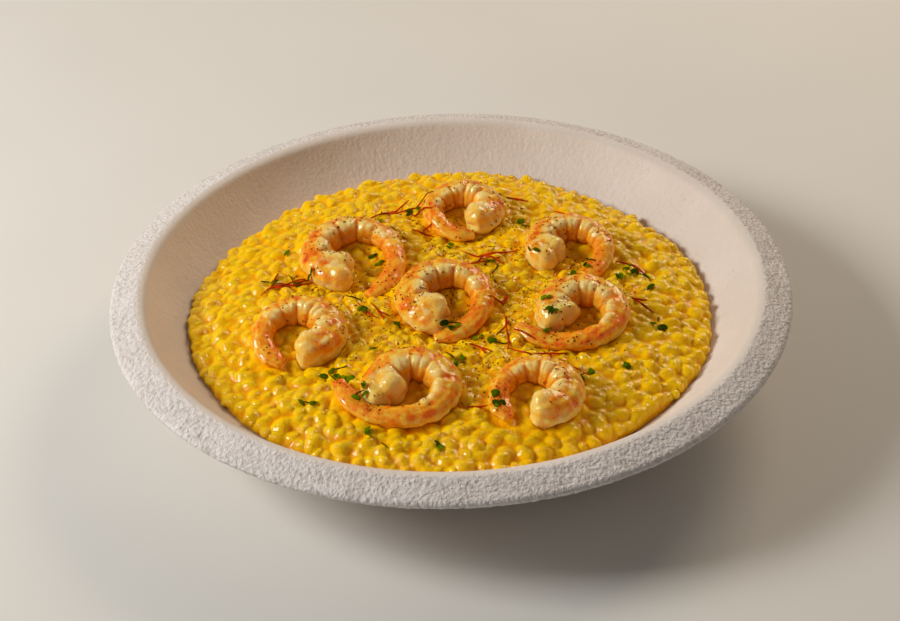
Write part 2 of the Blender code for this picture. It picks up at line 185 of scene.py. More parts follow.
table_mesh = bpy.data.meshes.new("table")
corners = [(x * TABLE_HALF, y * TABLE_HALF, 0) for x, y in ((-1, -1), (1, -1), (1, 1), (-1, 1))]
table_mesh.from_pydata(corners, [], [(0, 1, 2, 3)])
table_mesh.materials.append(table_paint)
add_object("table", table_mesh)
print("lamps:", len(LAMPS), "and a table", 2 * TABLE_HALF, "m wide")

# %% [markdown]
# ## The bowl's form
# The bowl is thrown stoneware: one half section turned round an axis. The inside is a single
# arc, tangent to the floor, up to a rounded ridge. From there the rim falls gently outwards to a
# thin lip. The sizes are the CAD model's. Each arc is given by its angles in degrees, and is cut
# finely where it shows and coarsely under the rice.

# %% Section of the bowl
BOWL_RADIUS = 140.0
BOWL_HEIGHT = 44.0
RIDGE_RADIUS = 128.0
RIDGE_ROUND = 4.5
LIP_ROUND = 2.0
LIP_DROP = 5.2
WALL_SLOPE = 58.0
FLOOR_HEIGHT = 10.0
SHELL = 4.2
FOOT_RADIUS = 78.0
FOOT_WIDTH = 6.0
FOOT_RECESS = 1.8
FOOT_ROUND = 0.6
RICE_COVERS = -60


def arc(middle, radius, start, end, steps):
    """Points of an arc from one angle to another, in degrees."""
    angles = np.radians(np.linspace(start, end, steps + 1))
    return [(middle[0] + radius * math.cos(a), middle[1] + radius * math.sin(a)) for a in angles]


slope = math.radians(WALL_SLOPE)
wall_top = BOWL_HEIGHT - RIDGE_ROUND + RIDGE_ROUND * math.cos(slope)
WALL_RADIUS = (wall_top - FLOOR_HEIGHT) / (1 - math.cos(slope))
WALL_MIDDLE = (RIDGE_RADIUS - (RIDGE_ROUND + WALL_RADIUS) * math.sin(slope),
               FLOOR_HEIGHT + WALL_RADIUS)


def wall_height(r):
    """Height of the inside of the bowl at a distance from its axis, in mm."""
    if r <= WALL_MIDDLE[0]:
        return FLOOR_HEIGHT
    return WALL_MIDDLE[1] - math.sqrt(WALL_RADIUS ** 2 - (r - WALL_MIDDLE[0]) ** 2)


ridge = (RIDGE_RADIUS, BOWL_HEIGHT - RIDGE_ROUND)
lip = (BOWL_RADIUS - LIP_ROUND, BOWL_HEIGHT - LIP_DROP)
fall = math.degrees(math.atan2(ridge[1] - lip[1], lip[0] - ridge[0])
                    + math.asin((RIDGE_ROUND - LIP_ROUND) / math.dist(ridge, lip)))
section = [(0.0, FLOOR_HEIGHT)] + arc(WALL_MIDDLE, WALL_RADIUS, -90, RICE_COVERS, 5)
section += arc(WALL_MIDDLE, WALL_RADIUS, RICE_COVERS, -90 + WALL_SLOPE, 26)[1:]
section += arc(ridge, RIDGE_ROUND, 90 + WALL_SLOPE, 90 - fall, 9)[1:]
slope_end = arc(lip, LIP_ROUND, 90 - fall, -95, 6)
ridge_end, lip_start = np.array(section[-1]), np.array(slope_end[0])
section += [tuple(ridge_end + (lip_start - ridge_end) * i / 14) for i in range(1, 14)] + slope_end
section += arc(WALL_MIDDLE, WALL_RADIUS + SHELL, -40, -79, 12)
foot_top = section[-1][1]
foot_in = FOOT_RADIUS - FOOT_WIDTH
section += [(FOOT_RADIUS, foot_top), (FOOT_RADIUS, FOOT_ROUND), (FOOT_RADIUS - FOOT_ROUND, 0.0),
            (foot_in + FOOT_ROUND, 0.0), (foot_in, 0.4), (foot_in - FOOT_RECESS, FOOT_RECESS),
            (0.0, FOOT_RECESS)]
print("section of the bowl:", len(section), "points")

# %% [markdown]
# ## The bowl's surface
# The clay is rough: the rim is pebbled and folded, as if pressed with cloth, and the inside has
# the same skin, but lower. The ridge between them is rubbed smooth. A displacement in the shader
# would be lost in the export, so the mesh itself is pushed in along its normals. Creases part the
# pebbles, a finer noise folds the skin between them, and a broad one makes it uneven. Two numbers
# are kept for the material: how deep a point lies, and how rough the skin is there.

# %% Turn the section
TURN_STEPS = 1200


def turned(points, steps):
    """Closed mesh of a section whose two ends lie on the axis."""
    verts = [(0, 0, points[0][1] * MM)]
    for r, z in points[1:-1]:
        for i in range(steps):
            a = 2 * math.pi * i / steps
            verts.append((r * MM * math.cos(a), r * MM * math.sin(a), z * MM))
    verts.append((0, 0, points[-1][1] * MM))
    faces = []
    last = len(verts) - 1
    rows = len(points) - 2
    for i in range(steps):
        n = (i + 1) % steps
        faces.append((0, 1 + i, 1 + n))
        for row in range(rows - 1):
            low, high = 1 + row * steps, 1 + (row + 1) * steps
            faces.append((low + i, high + i, high + n, low + n))
        end = 1 + (rows - 1) * steps
        faces.append((end + i, last, end + n))
    mesh = bpy.data.meshes.new("bowl")
    mesh.from_pydata(verts, [], faces)
    return mesh


bowl_mesh = turned(section, TURN_STEPS)
print("bowl:", len(bowl_mesh.vertices), "points")

# %% Press its relief
RIM_RELIEF = 0.40
WALL_RELIEF = 0.22
PEBBLE = 2.2
RIM_FROM, RIM_FULL = 125.0, 129.5
RIDGE_RUB = 0.85
RUB_RADIUS, RUB_WIDTH = RIDGE_RADIUS - 1.5, 2.0
HIDDEN_RADIUS = 99.0
FOOT_PLAIN = 3.0
HIDDEN_ROUGH = 0.14
INNER_ROUGH = 0.24
noise.seed_set(8)  # noise_vector would otherwise start from the time of day


def store(mesh, name, values):
    """Keep one number for each point of a mesh, for its material or its node tree to read."""
    mesh.attributes.new(name, "FLOAT", "POINT").data.foreach_set("value", values)


def ramp(value, low, high):
    """0 below low, 1 above high and a smooth step between them."""
    t = min(max((value - low) / (high - low), 0.0), 1.0)
    return t * t * (3 - 2 * t)


def pebbles(p):
    """Depth of the pressed skin at a place in mm, from 0 on a pebble to 1 in a pit."""
    warp = noise.noise_vector(p / 4.0) * 1.3
    near = noise.voronoi((p + warp) / PEBBLE, distance_metric="DISTANCE")[0]
    crease = 1 - min((near[1] - near[0]) / 0.55, 1.0)
    fold = 0.5 + 0.9 * noise.noise((p + warp) / 1.6)
    broad = 0.5 + 0.5 * noise.noise(p / 9.0)
    return max(0.35 * crease ** 2 + 0.65 * fold, 0.0) * (0.6 + 0.7 * broad)


count = len(bowl_mesh.vertices)
places, normals = np.zeros(count * 3), np.zeros(count * 3)
bowl_mesh.vertices.foreach_get("co", places)
bowl_mesh.vertices.foreach_get("normal", normals)
places, normals = places.reshape(-1, 3), normals.reshape(-1, 3)
depths, rough = np.zeros(count), np.full(count, HIDDEN_ROUGH)
for i in range(count):
    x, y, z = places[i] / MM
    r = math.hypot(x, y)
    if r < HIDDEN_RADIUS and normals[i][2] >= 0.2:
        continue
    rim = ramp(r, RIM_FROM, RIM_FULL)
    smooth_band = 1 - RIDGE_RUB * math.exp(-((r - RUB_RADIUS) / RUB_WIDTH) ** 2)
    amount = WALL_RELIEF + (RIM_RELIEF - WALL_RELIEF) * rim if z >= FOOT_PLAIN else 0
    depths[i] = pebbles(Vector((x, y, z))) * amount * smooth_band
    rough[i] = smooth_band * (INNER_ROUGH + (1 - INNER_ROUGH) * rim)
bowl_mesh.vertices.foreach_set("co", (places - normals * depths[:, None] * MM).ravel())
store(bowl_mesh, "pit", depths / RIM_RELIEF)
store(bowl_mesh, "rough", rough)
print("deepest pit:", round(depths.max(), 2), "mm")

# %% [markdown]
# ## Stoneware
# Unglazed stoneware with a thin matt slip is a warm off-white. It is painted browner inside than
# on the rim, as painted warm shade and bounce light from the rice, and painted darker in its pits,
# as painted shade. It scatters light evenly, so it is rough and has hardly any gloss. Its fine
# wrinkles, about 1.5 mm apart, are too small for the mesh, so one noise draws them twice: as a
# bump, and as thin dark lines of painted shade where it crosses its middle value. Both are weaker
# inside, where the skin is calmer.

# %% Material: stoneware
PAINTED_SHADE_BROWN = colour("#8A7867")
SLIP_AND_WARM_SHADE = (("#D6C7B9", "#E6DACF"), ("#DCD3CF", "#ECE5E2"))


def thin_lines(tree, pattern, width, strength):
    """Strength on the lines where a noise crosses its middle value, and 0 beside them."""
    off = add_node(tree, "ShaderNodeMath", {0: pattern, 1: 0.5}, operation="SUBTRACT")
    off = add_node(tree, "ShaderNodeMath", {0: off}, operation="ABSOLUTE")
    return add_node(tree, "ShaderNodeMapRange", {"Value": off, "From Max": width,
                    "To Min": strength, "To Max": 0.0})


stoneware, tree, shader = new_material("matt_slip_stoneware")
where = add_node(tree, "ShaderNodeTexCoord", out="Object")
rough = add_node(tree, "ShaderNodeAttribute", out="Fac", attribute_name="rough")
pit = add_node(tree, "ShaderNodeAttribute", out="Fac", attribute_name="pit")
clouds = add_node(tree, "ShaderNodeTexNoise", {"Vector": where, "Scale": 45.0, "Detail": 4.0})
# The browner inside tone is painted warm shade and bounce light from the rice.
inner, rim = [add_node(tree, "ShaderNodeMix", {"Factor": clouds, "A": colour(dark),
                       "B": colour(light)}, data_type="RGBA") for dark, light in SLIP_AND_WARM_SHADE]
base = add_node(tree, "ShaderNodeMix", {"Factor": rough, "A": inner, "B": rim}, data_type="RGBA")
wrinkles = add_node(tree, "ShaderNodeTexNoise", {"Vector": where, "Scale": 700.0, "Detail": 3.0,
                    "Roughness": 0.5, "Distortion": 0.15})
height, lines = [add_node(tree, "ShaderNodeMath", {0: value, 1: rough}, operation="MULTIPLY")
                 for value in (wrinkles, thin_lines(tree, wrinkles, 0.05, 0.15))]
# Painted shade: the pits and the thin lines along the wrinkles are darkened towards a shade brown.
pits = add_node(tree, "ShaderNodeMapRange", {"Value": pit, "From Min": 0.35, "From Max": 1.0,
                "To Max": 0.45})
for share in (pits, lines):
    base = add_node(tree, "ShaderNodeMix", {"Factor": share, "A": base, "B": PAINTED_SHADE_BROWN},
                    data_type="RGBA")
bump = add_node(tree, "ShaderNodeBump", {"Height": height, "Strength": 0.75, "Distance": 1.5 * MM})
connect(shader, {"Base Color": base, "Normal": bump, "Roughness": 0.62,
                 "Specular IOR Level": 0.35})
print("stoneware:", len(tree.nodes), "nodes")


# %% Place the bowl
def mesh_object(name, mesh, material):
    """A smooth-shaded piece that rides on the dish."""
    mesh.materials.clear()
    mesh.materials.append(material)
    mesh.shade_smooth()
    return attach(add_object(name, mesh), "root")


bowl = mesh_object("stoneware_bowl", bowl_mesh, stoneware)
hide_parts("bowl")
print("bowl:", len(bowl_mesh.polygons), "faces")

# %% [markdown]
# ## The mound
# Risotto spreads in the bowl: its top is nearly flat and its edge falls steeply to the wall, along
# an uneven line. These few functions give its height and its outline. The shrimp's own numbers
# come first, because the rice is bedded round them: the middle of the curl, the direction of the
# head, the turn from head to tail, the radius of the curl, the half thickness of the body, how far
# the tail reaches out, and a lean. Each bay of the outline has a direction, a half width and a
# depth. Sizes are in mm and angles in degrees.

# %% Where the food lies
Shrimp = namedtuple("Shrimp", "name x y head turn curl body reach lean")
SHRIMPS = (
    Shrimp("shrimp_1", -40, 26, -112, -324, 16.0, 7.4, 11.5, 6),
    Shrimp("shrimp_2", 5.8, 58, -50, 335, 12.2, 7.1, 5, 6),
    Shrimp("shrimp_3", 52, 27, -150, -285, 13.2, 7.2, 5, 6),
    Shrimp("shrimp_4", -1.3, -9, -112, -350, 14.0, 7.6, 9, 10),
    Shrimp("shrimp_5", 53.5, -21.5, -165, -362, 13.0, 7.2, 14, 10),
    Shrimp("shrimp_6", -62.3, -29, -66, 316, 13.2, 7.4, 4, 8),
    Shrimp("shrimp_7", -16, -67.5, -165, -384, 12.6, 7.4, 16, 12),
    Shrimp("shrimp_8", 31, -71, -76, 306, 12.4, 7.2, 4, 8),
)
RICE_RADIUS = 109.0
RICE_DOME = 10.5
RICE_LINE = wall_height(RICE_RADIUS)
BAYS = ((45, 42, 4.8), (97, 30, 2.0), (0, 26, 1.6), (140, 44, 3.0), (212, 20, 1.2),
        (256, 30, 2.2), (312, 32, 2.6))
SINK = 2.6
HEAD_TUCK = 2.5
CURL_HOLLOW = 2.2
HEAD_BULGE = 0.28
GROOVES = (0.0, 0.15, 0.27, 0.385, 0.495, 0.60, 0.70, 0.87)
FAN_START = 0.87


def edge_radius(x, y):
    """Radius of the outline of the rice in the direction of a place, in mm."""
    radius = RICE_RADIUS
    direction = math.degrees(math.atan2(y, x))
    for middle, width, depth in BAYS:
        away = abs((direction - middle + 180) % 360 - 180)
        radius -= depth * (1 - ramp(away, 0, width))
    return radius


def dome_height(x, y):
    """Height of the mound as it would be without the shrimp, in mm."""
    far = min(math.hypot(x, y) / edge_radius(x, y), 1.0)
    return RICE_LINE + RICE_DOME * math.sqrt(1 - far ** 3)


def seat(spec):
    """Middle of a shrimp's curl in mm, on the mound."""
    return Vector((spec.x, spec.y, dome_height(spec.x, spec.y) + SINK))


def bed_height(x, y):
    """The mound, tipped a little under each shrimp so that all of it is bedded alike."""
    height = dome_height(x, y)
    for spec in SHRIMPS:
        away = math.hypot(x - spec.x, y - spec.y)
        share = 1 - ramp(away, spec.curl + 4, spec.curl + 15)
        if share > 0:
            tipped = seat(spec).z - SINK + (y - spec.y) * math.tan(math.radians(spec.lean))
            height += share * (tipped - height)
        height -= CURL_HOLLOW * (1 - ramp(away, 1.0, spec.curl * 0.75))
    return height


print("rice line", round(RICE_LINE, 1), "mm, top of the mound", round(RICE_LINE + RICE_DOME, 1))

# %% [markdown]
# ## The shrimp's form
# A cooked, peeled shrimp is a tapering body bent into a curl. Its segments show on the belly,
# which is the inside of the curl: grooves part them, a shallower crease halves each, and each
# half is round like a pearl. All this fades towards the smooth back. The head end is cut off
# blunt and lumpy, and the tail is slim and flat. The body is lofted: a cross-section is worked
# out at each station along the curl, from s = 0 at the head to s = 1 at the tail, and the
# stations are joined. Round a section, away is the angle from the back, 0, to the belly, pi.

# %% The curl and its girth
TAIL_SWING_FROM = 0.68
HEAD_TUCK_TO = 0.2


def curl_point(spec, s):
    """A point of the shrimp's centre line in mm, from the middle of the curl."""
    angle = math.radians(spec.head + spec.turn * s)
    swing = max(s - TAIL_SWING_FROM, 0.0) / (1 - TAIL_SWING_FROM)
    tuck = max(HEAD_TUCK_TO - s, 0.0) / HEAD_TUCK_TO
    radius = spec.curl + spec.reach * swing ** 2 - HEAD_TUCK * tuck ** 2
    return Vector((radius * math.cos(angle), radius * math.sin(angle), 0.0))


def girth(spec, s):
    """Half thickness in mm."""
    blunt = 1.05 - 0.07 * ramp(s, 0.0, 0.12)
    taper = 1.0 - 0.45 * ramp(s, 0.30, 0.92)
    fan = 1.0 - 0.40 * ramp(s, 0.95, 1.0)
    return spec.body * blunt * taper * fan


print("thick at the head, the middle and the tail:",
      [round(2 * girth(SHRIMPS[0], s), 1) for s in (0.0, 0.5, 1.0)], "mm")


# %% Segments, grooves and pearls
PEARLS_AT, PEARLS_WIDE = 1.95, 0.36


def segment(s):
    """Number of the segment at s, and how far along it s lies."""
    for number, (start, end) in enumerate(zip(GROOVES, GROOVES[1:])):
        if s < end:
            return number, (max(s, 0.0) - start) / (end - start)
    return len(GROOVES) - 1, 0.5


def groove(s):
    """0 on the crown of a segment and 1 in the groove between two segments."""
    number, share = segment(s)
    if (number == 0 and share < 0.5) or (number == len(GROOVES) - 2 and share > 0.5):
        return 0.0
    return 1 - math.sqrt(1 - abs(2 * share - 1) ** 3.5)


def crease(s):
    """As groove, with a shallower crease across the middle of each segment's belly."""
    share = segment(s)[1]
    middle = 1 - math.sqrt(1 - max(1 - abs(2 * share - 1) * 3, 0.0) ** 2.5)
    return max(groove(s), 0.5 * middle)


def band(away, middle, width):
    """1 at an angle round the section, and falling to 0 on both sides of it."""
    return math.exp(-((away - middle) / width) ** 2)


def pearl(s, away):
    """1 on the crown of a belly lobe, which is round like a pearl, and 0 beside it."""
    number, share = segment(s)
    body = 1 - ramp(s, 0.68, 0.76)
    own = 0.8 + 0.4 * noise.noise(Vector((number + 0.5 * (share > 0.5), 3.3, 0.5)))
    return body * own * (1 - crease(s)) ** 1.2 * band(away, PEARLS_AT, PEARLS_WIDE)


print("segments:", len(GROOVES) - 1)


# %% The skin and its stain
def skin(spec, s, phi):
    """Offsets of the skin from the centre line: outwards in the curl, and up."""
    size = girth(spec, s)
    belly = (1 - math.cos(phi)) / 2
    away = abs(phi)
    body = 1 - ramp(s, 0.70, 0.80)
    number, share = segment(s)
    own = noise.noise(Vector((spec.x, number * 1.7, 0.5)))
    size *= 1 - groove(s) * (0.05 + 0.17 * belly)
    size *= 1 - 0.5 * crease(s) * 0.12 * band(away, PEARLS_AT, 0.4)
    size *= 1 - 0.10 * body * band(away, 2.75, 0.35)
    size *= 1 + (0.16 + 0.06 * own) * pearl(s, away)
    size *= 1 + 0.035 * body * (0.5 - share) * (1 - belly)
    size *= 1 - 0.06 * body * band(away, 1.30, 0.16)
    size *= 1 - 0.05 * body * band(away, 0.62, 0.09) * ramp(s, 0.1, 0.25)
    bulge = 1 + HEAD_BULGE * belly * (1 - ramp(s, 0.08, 0.30))
    flat = ramp(s, FAN_START - 0.05, FAN_START + 0.03)
    out = size * bulge * (1.04 + 0.10 * flat) * math.cos(phi)
    up = size * (0.94 - 0.30 * flat) * math.sin(phi)
    return out, up


def stain(s, away, p):
    """How orange the flesh is at a place, from 0, cream, to 1, deep red."""
    share = away / math.pi
    patch = 0.6 * noise.noise(p / 5.0) + 0.6 * noise.noise(p / 2.4)
    flank = ramp(share, 0.05, 0.16) * (1 - ramp(share, 0.44, 0.60))
    tail = ramp(s, 0.62, 0.84)
    strength = max(flank * (0.66 + 1.2 * patch), tail * (0.62 + 0.6 * patch))
    streaks = 0.07 * tail * math.cos(9 * away)
    between = ramp(share, 0.46, 0.56) * (1 - min(pearl(s, away), 1.0))
    tone = 0.14 + 0.48 * strength + 0.20 * groove(s) * (1 - tail) + streaks
    tone += 0.20 * between + 0.12 * noise.noise(p / 1.5)
    return tone * (0.70 + 0.30 * ramp(s, 0.0, 0.06))


print("stain on a flank:", round(stain(0.3, 1.0, Vector()), 2))


# %% Loft the skin
STATIONS = 132
SIDES = 60
CAP_RINGS = 7
CAP_REACH = 0.5


def shrimp_rings(spec):
    """Centre, direction, outward, share of the section and s of each ring, ends rounded."""
    rings = []
    stops = [(0.0, k) for k in range(CAP_RINGS, 0, -1)]
    stops += [(i / (STATIONS - 1), 0) for i in range(STATIONS)]
    stops += [(1.0, -k) for k in range(1, CAP_RINGS + 1)]
    for s, cap in stops:
        here = curl_point(spec, s)
        ahead = (curl_point(spec, s + 0.01) - curl_point(spec, s - 0.01)).normalized()
        outward = ahead.cross(Vector((0, 0, 1)))
        if spec.turn < 0:
            outward.negate()
        a = math.pi / 2 * abs(cap) / (CAP_RINGS + 0.4)
        here = here - ahead * girth(spec, s) * CAP_REACH * math.sin(a) * (1 if cap > 0 else -1)
        rings.append((here, ahead, outward, math.cos(a) ** 0.6, s))
    return rings


def loft(spec):
    """Points and faces of the closed skin, and for each point s, away and a share of cut face."""
    place = Matrix.Translation(seat(spec)) @ Matrix.Rotation(math.radians(spec.lean), 4, "X")
    verts, marks = [], []
    rings = shrimp_rings(spec)
    for row, (here, _, outward, share, s) in enumerate(rings):
        for k in range(SIDES):
            phi = 2 * math.pi * k / SIDES
            phi = phi - 2 * math.pi if phi > math.pi else phi
            out, up = skin(spec, s, phi)
            spot = here + outward * out * share + Vector((0, 0, up * share))
            verts.append(place @ spot)
            marks.append((s, abs(phi), 1 - share if row < CAP_RINGS else 0.0))
    ends = (rings[0], -1), (rings[-1], 1)
    for (here, ahead, _, _, s), way in ends:
        verts.append(place @ (here + ahead * way * 0.12))
        marks.append((s, math.pi / 2, 1.0 if way < 0 else 0.0))
    faces = []
    for row in range(len(rings) - 1):
        low, high = row * SIDES, (row + 1) * SIDES
        for k in range(SIDES):
            n = (k + 1) % SIDES
            faces.append((low + k, low + n, high + n, high + k))
    tips = len(verts) - 2
    end = (len(rings) - 1) * SIDES
    for k in range(SIDES):
        n = (k + 1) % SIDES
        faces.append((n, k, tips))
        faces.append((end + k, end + n, tips + 1))
    return verts, faces, marks


print("faces of a shrimp:", len(loft(SHRIMPS[0])[1]))


# %% Roughen and stain the skin
def shrimp_mesh(spec):
    """The skin in metres, roughened, with its marks stored as attributes."""
    verts, faces, marks = loft(spec)
    mesh = bpy.data.meshes.new("cooked_" + spec.name)
    mesh.from_pydata([v * MM for v in verts], [], faces)
    bm = bmesh.new()
    bm.from_mesh(mesh)
    bmesh.ops.recalc_face_normals(bm, faces=bm.faces)
    bm.normal_update()
    tones, pale = [], []
    for v in bm.verts:
        p = v.co / MM
        s, away = marks[v.index][:2]
        head = 1 - ramp(s, 0.05, 0.15)
        dome = 0.42 - noise.voronoi(p / 4.6, distance_metric="DISTANCE")[0][0]
        lump = dome * (0.5 + 0.5 * head) + noise.noise(p / 3.4 + Vector((7, 0, 0))) * 0.6
        lump += head * (1.8 * abs(math.cos(1.5 * (away - 0.25 * spec.x))) - 1.0)
        ring = noise.noise(Vector((s * 55, away * 0.9, spec.x))) * 0.14
        fibre = noise.noise(p / 1.1) * 0.16
        v.co += v.normal * (lump + ring + fibre) * MM * (1 - 0.6 * ramp(s, 0.8, 0.9))
        tones.append(stain(s, away, p + Vector((0, 0, spec.x))))
        pale.append(max(pearl(s, away), head * 2.6 * noise.noise(p / 3.2)))
    bm.to_mesh(mesh)
    bm.free()
    store(mesh, "around", [m[1] / math.pi for m in marks])
    store(mesh, "stain", tones)
    store(mesh, "cut", [max(m[2], 0.5 * (1 - ramp(m[0], 0.0, 0.07))) for m in marks])
    store(mesh, "pearl", pale)
    return mesh


# %% [markdown]
# ## Cooked shrimp flesh
# The flesh turns from grey to creamy white when it is cooked, and the shell's pigment leaves an
# orange stain on its flanks and tail, mottled and in places dark red. It is slightly translucent
# and wet, so it gets subsurface scattering and a thin smooth coat over a fibrous bump. The stain
# is worked out for every point of the mesh, because it follows the segments. The shader adds the
# fine mottle to it and looks the sum up in a colour ramp. Three layers follow: the inside of the
# curl is painted amber, as painted shade of its hollow, the pearls are paler, and the cut face at
# the head end is yellow from the stock.
# A layer is a stored mark, the two values of it between which the layer comes in, its greatest
# share and its colour. Fine dark veins run through what is orange.

# %% Material: shrimp
STAINS = ((0.00, "#FFD680"), (0.20, "#FFC346"), (0.40, "#FFAC1E"), (0.58, "#FF9216"),
          (0.80, "#F4700A"), (1.00, "#BC4004"))
# The first layer, amber on the inside of the curl, is painted shade.
LAYERS = (("around", 0.72, 0.95, 0.65, "#E08A10"), ("pearl", 0.15, 0.80, 0.92, "#FFD68C"),
          ("cut", 0.10, 0.60, 0.75, "#FFCE62"))

flesh, tree, shader = new_material("cooked_shrimp_flesh")
where = add_node(tree, "ShaderNodeTexCoord", out="Object")
stained = add_node(tree, "ShaderNodeAttribute", out="Fac", attribute_name="stain")
mottle = add_node(tree, "ShaderNodeTexNoise", {"Vector": where, "Scale": 380.0, "Detail": 6.0,
                  "Roughness": 0.7})
tone = add_node(tree, "ShaderNodeMath", {0: mottle, 1: stained}, operation="ADD")
tone = add_node(tree, "ShaderNodeMath", {0: tone, 1: 0.53}, operation="SUBTRACT")
base = add_node(tree, "ShaderNodeValToRGB", {"Fac": tone})
stops = base.node.color_ramp.elements
for at, _ in STAINS[1:-1]:
    stops.new(at)
for stop, (at, tint) in zip(stops, STAINS):
    stop.position, stop.color = at, colour(tint)
for mark, low, high, most, tint in LAYERS:
    value = add_node(tree, "ShaderNodeAttribute", out="Fac", attribute_name=mark)
    share = add_node(tree, "ShaderNodeMapRange", {"Value": value, "From Min": low,
                     "From Max": high, "To Max": most})
    base = add_node(tree, "ShaderNodeMix", {"Factor": share, "A": base, "B": colour(tint)},
                    data_type="RGBA")
swirls = add_node(tree, "ShaderNodeTexNoise", {"Vector": where, "Scale": 260.0, "Detail": 3.0,
                  "Distortion": 1.6})
orange = add_node(tree, "ShaderNodeMapRange", {"Value": tone, "From Min": 0.38, "From Max": 0.55})
veins = add_node(tree, "ShaderNodeMath", {0: thin_lines(tree, swirls, 0.03, 0.65), 1: orange},
                 operation="MULTIPLY")
base = add_node(tree, "ShaderNodeMix", {"Factor": veins, "A": base, "B": colour("#A83A06")},
                data_type="RGBA")
fibres = add_node(tree, "ShaderNodeTexNoise", {"Vector": where, "Scale": 700.0, "Detail": 4.0})
bump = add_node(tree, "ShaderNodeBump", {"Height": fibres, "Strength": 0.8, "Distance": 0.6 * MM})
connect(shader, {"Base Color": base, "Normal": bump, "Roughness": 0.42, "IOR": 1.4,
                 "Specular IOR Level": 0.1, "Subsurface Weight": 1.0,
                 "Subsurface Radius": (1.0, 0.6, 0.15), "Subsurface Scale": 4.0 * MM,
                 "Coat Weight": 0.85, "Coat Roughness": 0.07, "Coat IOR": 1.42})
print("shrimp flesh:", len(tree.nodes), "nodes")

# %% Place the shrimp
shrimps = []
for spec in SHRIMPS:
    piece = mesh_object("cooked_" + spec.name, shrimp_mesh(spec), flesh)
    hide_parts(spec.name)
    shrimps.append(piece)
print("shrimp:", len(shrimps), "with", len(shrimps[0].data.polygons), "faces each")

# %% [markdown]
# ## The rice, grain by grain
# Cooked risotto rice is short and plump, and most grains are half drowned in the creamy starch
# that the stirring brings out. One list says where each grain lies, how it is turned and how large
# it is. The same list is used twice: for a height map in which the starch flows over the grains,
# and for the grains themselves, whose crowns stand out of it. A grain is thrown at a random place
# and kept if no kept grain is too near, so that they lie close but never in rows. Towards the
# middle, where the shrimp were pressed in, they lie closer and are smaller. Most grains are
# bedded, and a few lie heaped on them: each kind has its number of tries, how far apart it lies,
# and the lowest and highest middle over the mound.

# %% Where each grain lies
GRAIN_LONG = 3.4
GRAIN_WIDE = 2.5
GRAIN_HIGH = 2.1
CLOSE = 3.3
LOOSE = 3.95
EDGE_CLEAR = 1.9
SQUARE = 5
SAMPLES = 40
BATCH = 4000
WALL_CLEAR, WALL_LIFT = 2.0, 1.4
BEDDED = (40000, 1.0, -2.2, -0.9)
HEAPED = (3000, 2.3, -0.8, 0.1)
draw = random.Random(3)

samples = np.array([(*(seat(spec).xy + curl_point(spec, i / SAMPLES).xy), girth(spec, i / SAMPLES))
                    for spec in SHRIMPS for i in range(SAMPLES + 1)])


def room_beside(points):
    """Distance of each place from the nearest shrimp seen from above, below 0 under one."""
    rooms = np.empty(len(points))
    for start in range(0, len(points), BATCH):
        part = points[start:start + BATCH]
        away = np.hypot(part[:, None, 0] - samples[:, 0], part[:, None, 1] - samples[:, 1])
        rooms[start:start + BATCH] = (away - samples[:, 2]).min(1)
    return rooms


def thrown(tries, stretch):
    """Places on the mound that keep a distance, which grows from the middle outwards."""
    kept, near = [], {}
    for _ in range(tries):
        r = RICE_RADIUS * math.sqrt(draw.random())
        a = draw.uniform(-math.pi, math.pi)
        x, y = r * math.cos(a), r * math.sin(a)
        if r > edge_radius(x, y) - EDGE_CLEAR:
            continue
        apart = (CLOSE + (LOOSE - CLOSE) * ramp(r, 45, 85)) * stretch
        i, j = int(x // SQUARE), int(y // SQUARE)
        reach = range(-1 - int(apart // SQUARE), 2 + int(apart // SQUARE))
        others = [o for di in reach for dj in reach for o in near.get((i + di, j + dj), ())]
        if all((x - ox) ** 2 + (y - oy) ** 2 > apart ** 2 for ox, oy in others):
            kept.append((x, y, apart / stretch / LOOSE))
            near.setdefault((i, j), []).append((x, y))
    return kept


Grain = namedtuple("Grain", "x y z turn tip roll long wide high")


def grains_at(places, low, high):
    """Grains whose middles lie from low to high over the mound, and clear of the bowl."""
    made = []
    for x, y, size in places:
        size *= draw.uniform(0.86, 1.1)
        lowest = wall_height(math.hypot(x, y) + WALL_CLEAR) + WALL_LIFT
        z = max(bed_height(x, y) + draw.uniform(low, high), lowest)
        made.append(Grain(x, y, z, draw.uniform(0, math.pi), draw.gauss(0, 0.22),
                          draw.gauss(0, 0.2), GRAIN_LONG * size * draw.uniform(0.85, 1.1),
                          GRAIN_WIDE * size, GRAIN_HIGH * size))
    return made


bedded, heaped = [grains_at(thrown(tries, stretch), low, high)
                  for tries, stretch, low, high in (BEDDED, HEAPED)]
print("grains:", len(bedded), "bedded and", len(heaped), "on top")

# %% [markdown]
# ## The starch over the grains
# The height map has square cells. Each grain adds a low dome, a little wider and lower than the
# grain, and a soft maximum joins all domes and the sauce between them into one skin: the
# logarithm of a sum of exponentials, less an offset that keeps the numbers in range.

# %% Height map
CELL = 0.4
HALF = 112.0
COAT_WIDER = 1.16
COAT_LOWER = 0.34
SAUCE_DEPTH = 1.25
SOFTNESS = 0.40
OFFSET = 100

cells = int(2 * HALF / CELL) + 1
axis = np.linspace(-HALF, HALF, cells)
total = np.zeros((cells, cells))
for g in bedded + heaped:
    i, j = int((g.x + HALF) / CELL), int((g.y + HALF) / CELL)
    span = int(g.long * 1.3 / CELL) + 1
    si, sj = slice(max(i - span, 0), i + span + 1), slice(max(j - span, 0), j + span + 1)
    dx, dy = axis[si][:, None] - g.x, axis[sj][None, :] - g.y
    u = (dx * math.cos(g.turn) + dy * math.sin(g.turn)) / (g.long * COAT_WIDER)
    v = (dy * math.cos(g.turn) - dx * math.sin(g.turn)) / (g.wide * COAT_WIDER)
    inside = u * u + v * v < 1
    dome = np.sqrt(np.clip(1 - u * u - v * v, 0, 1)) * g.high + g.z - COAT_LOWER
    total[si, sj] += np.where(inside, np.exp(dome / SOFTNESS - OFFSET), 0)
print("height map:", cells, "x", cells)


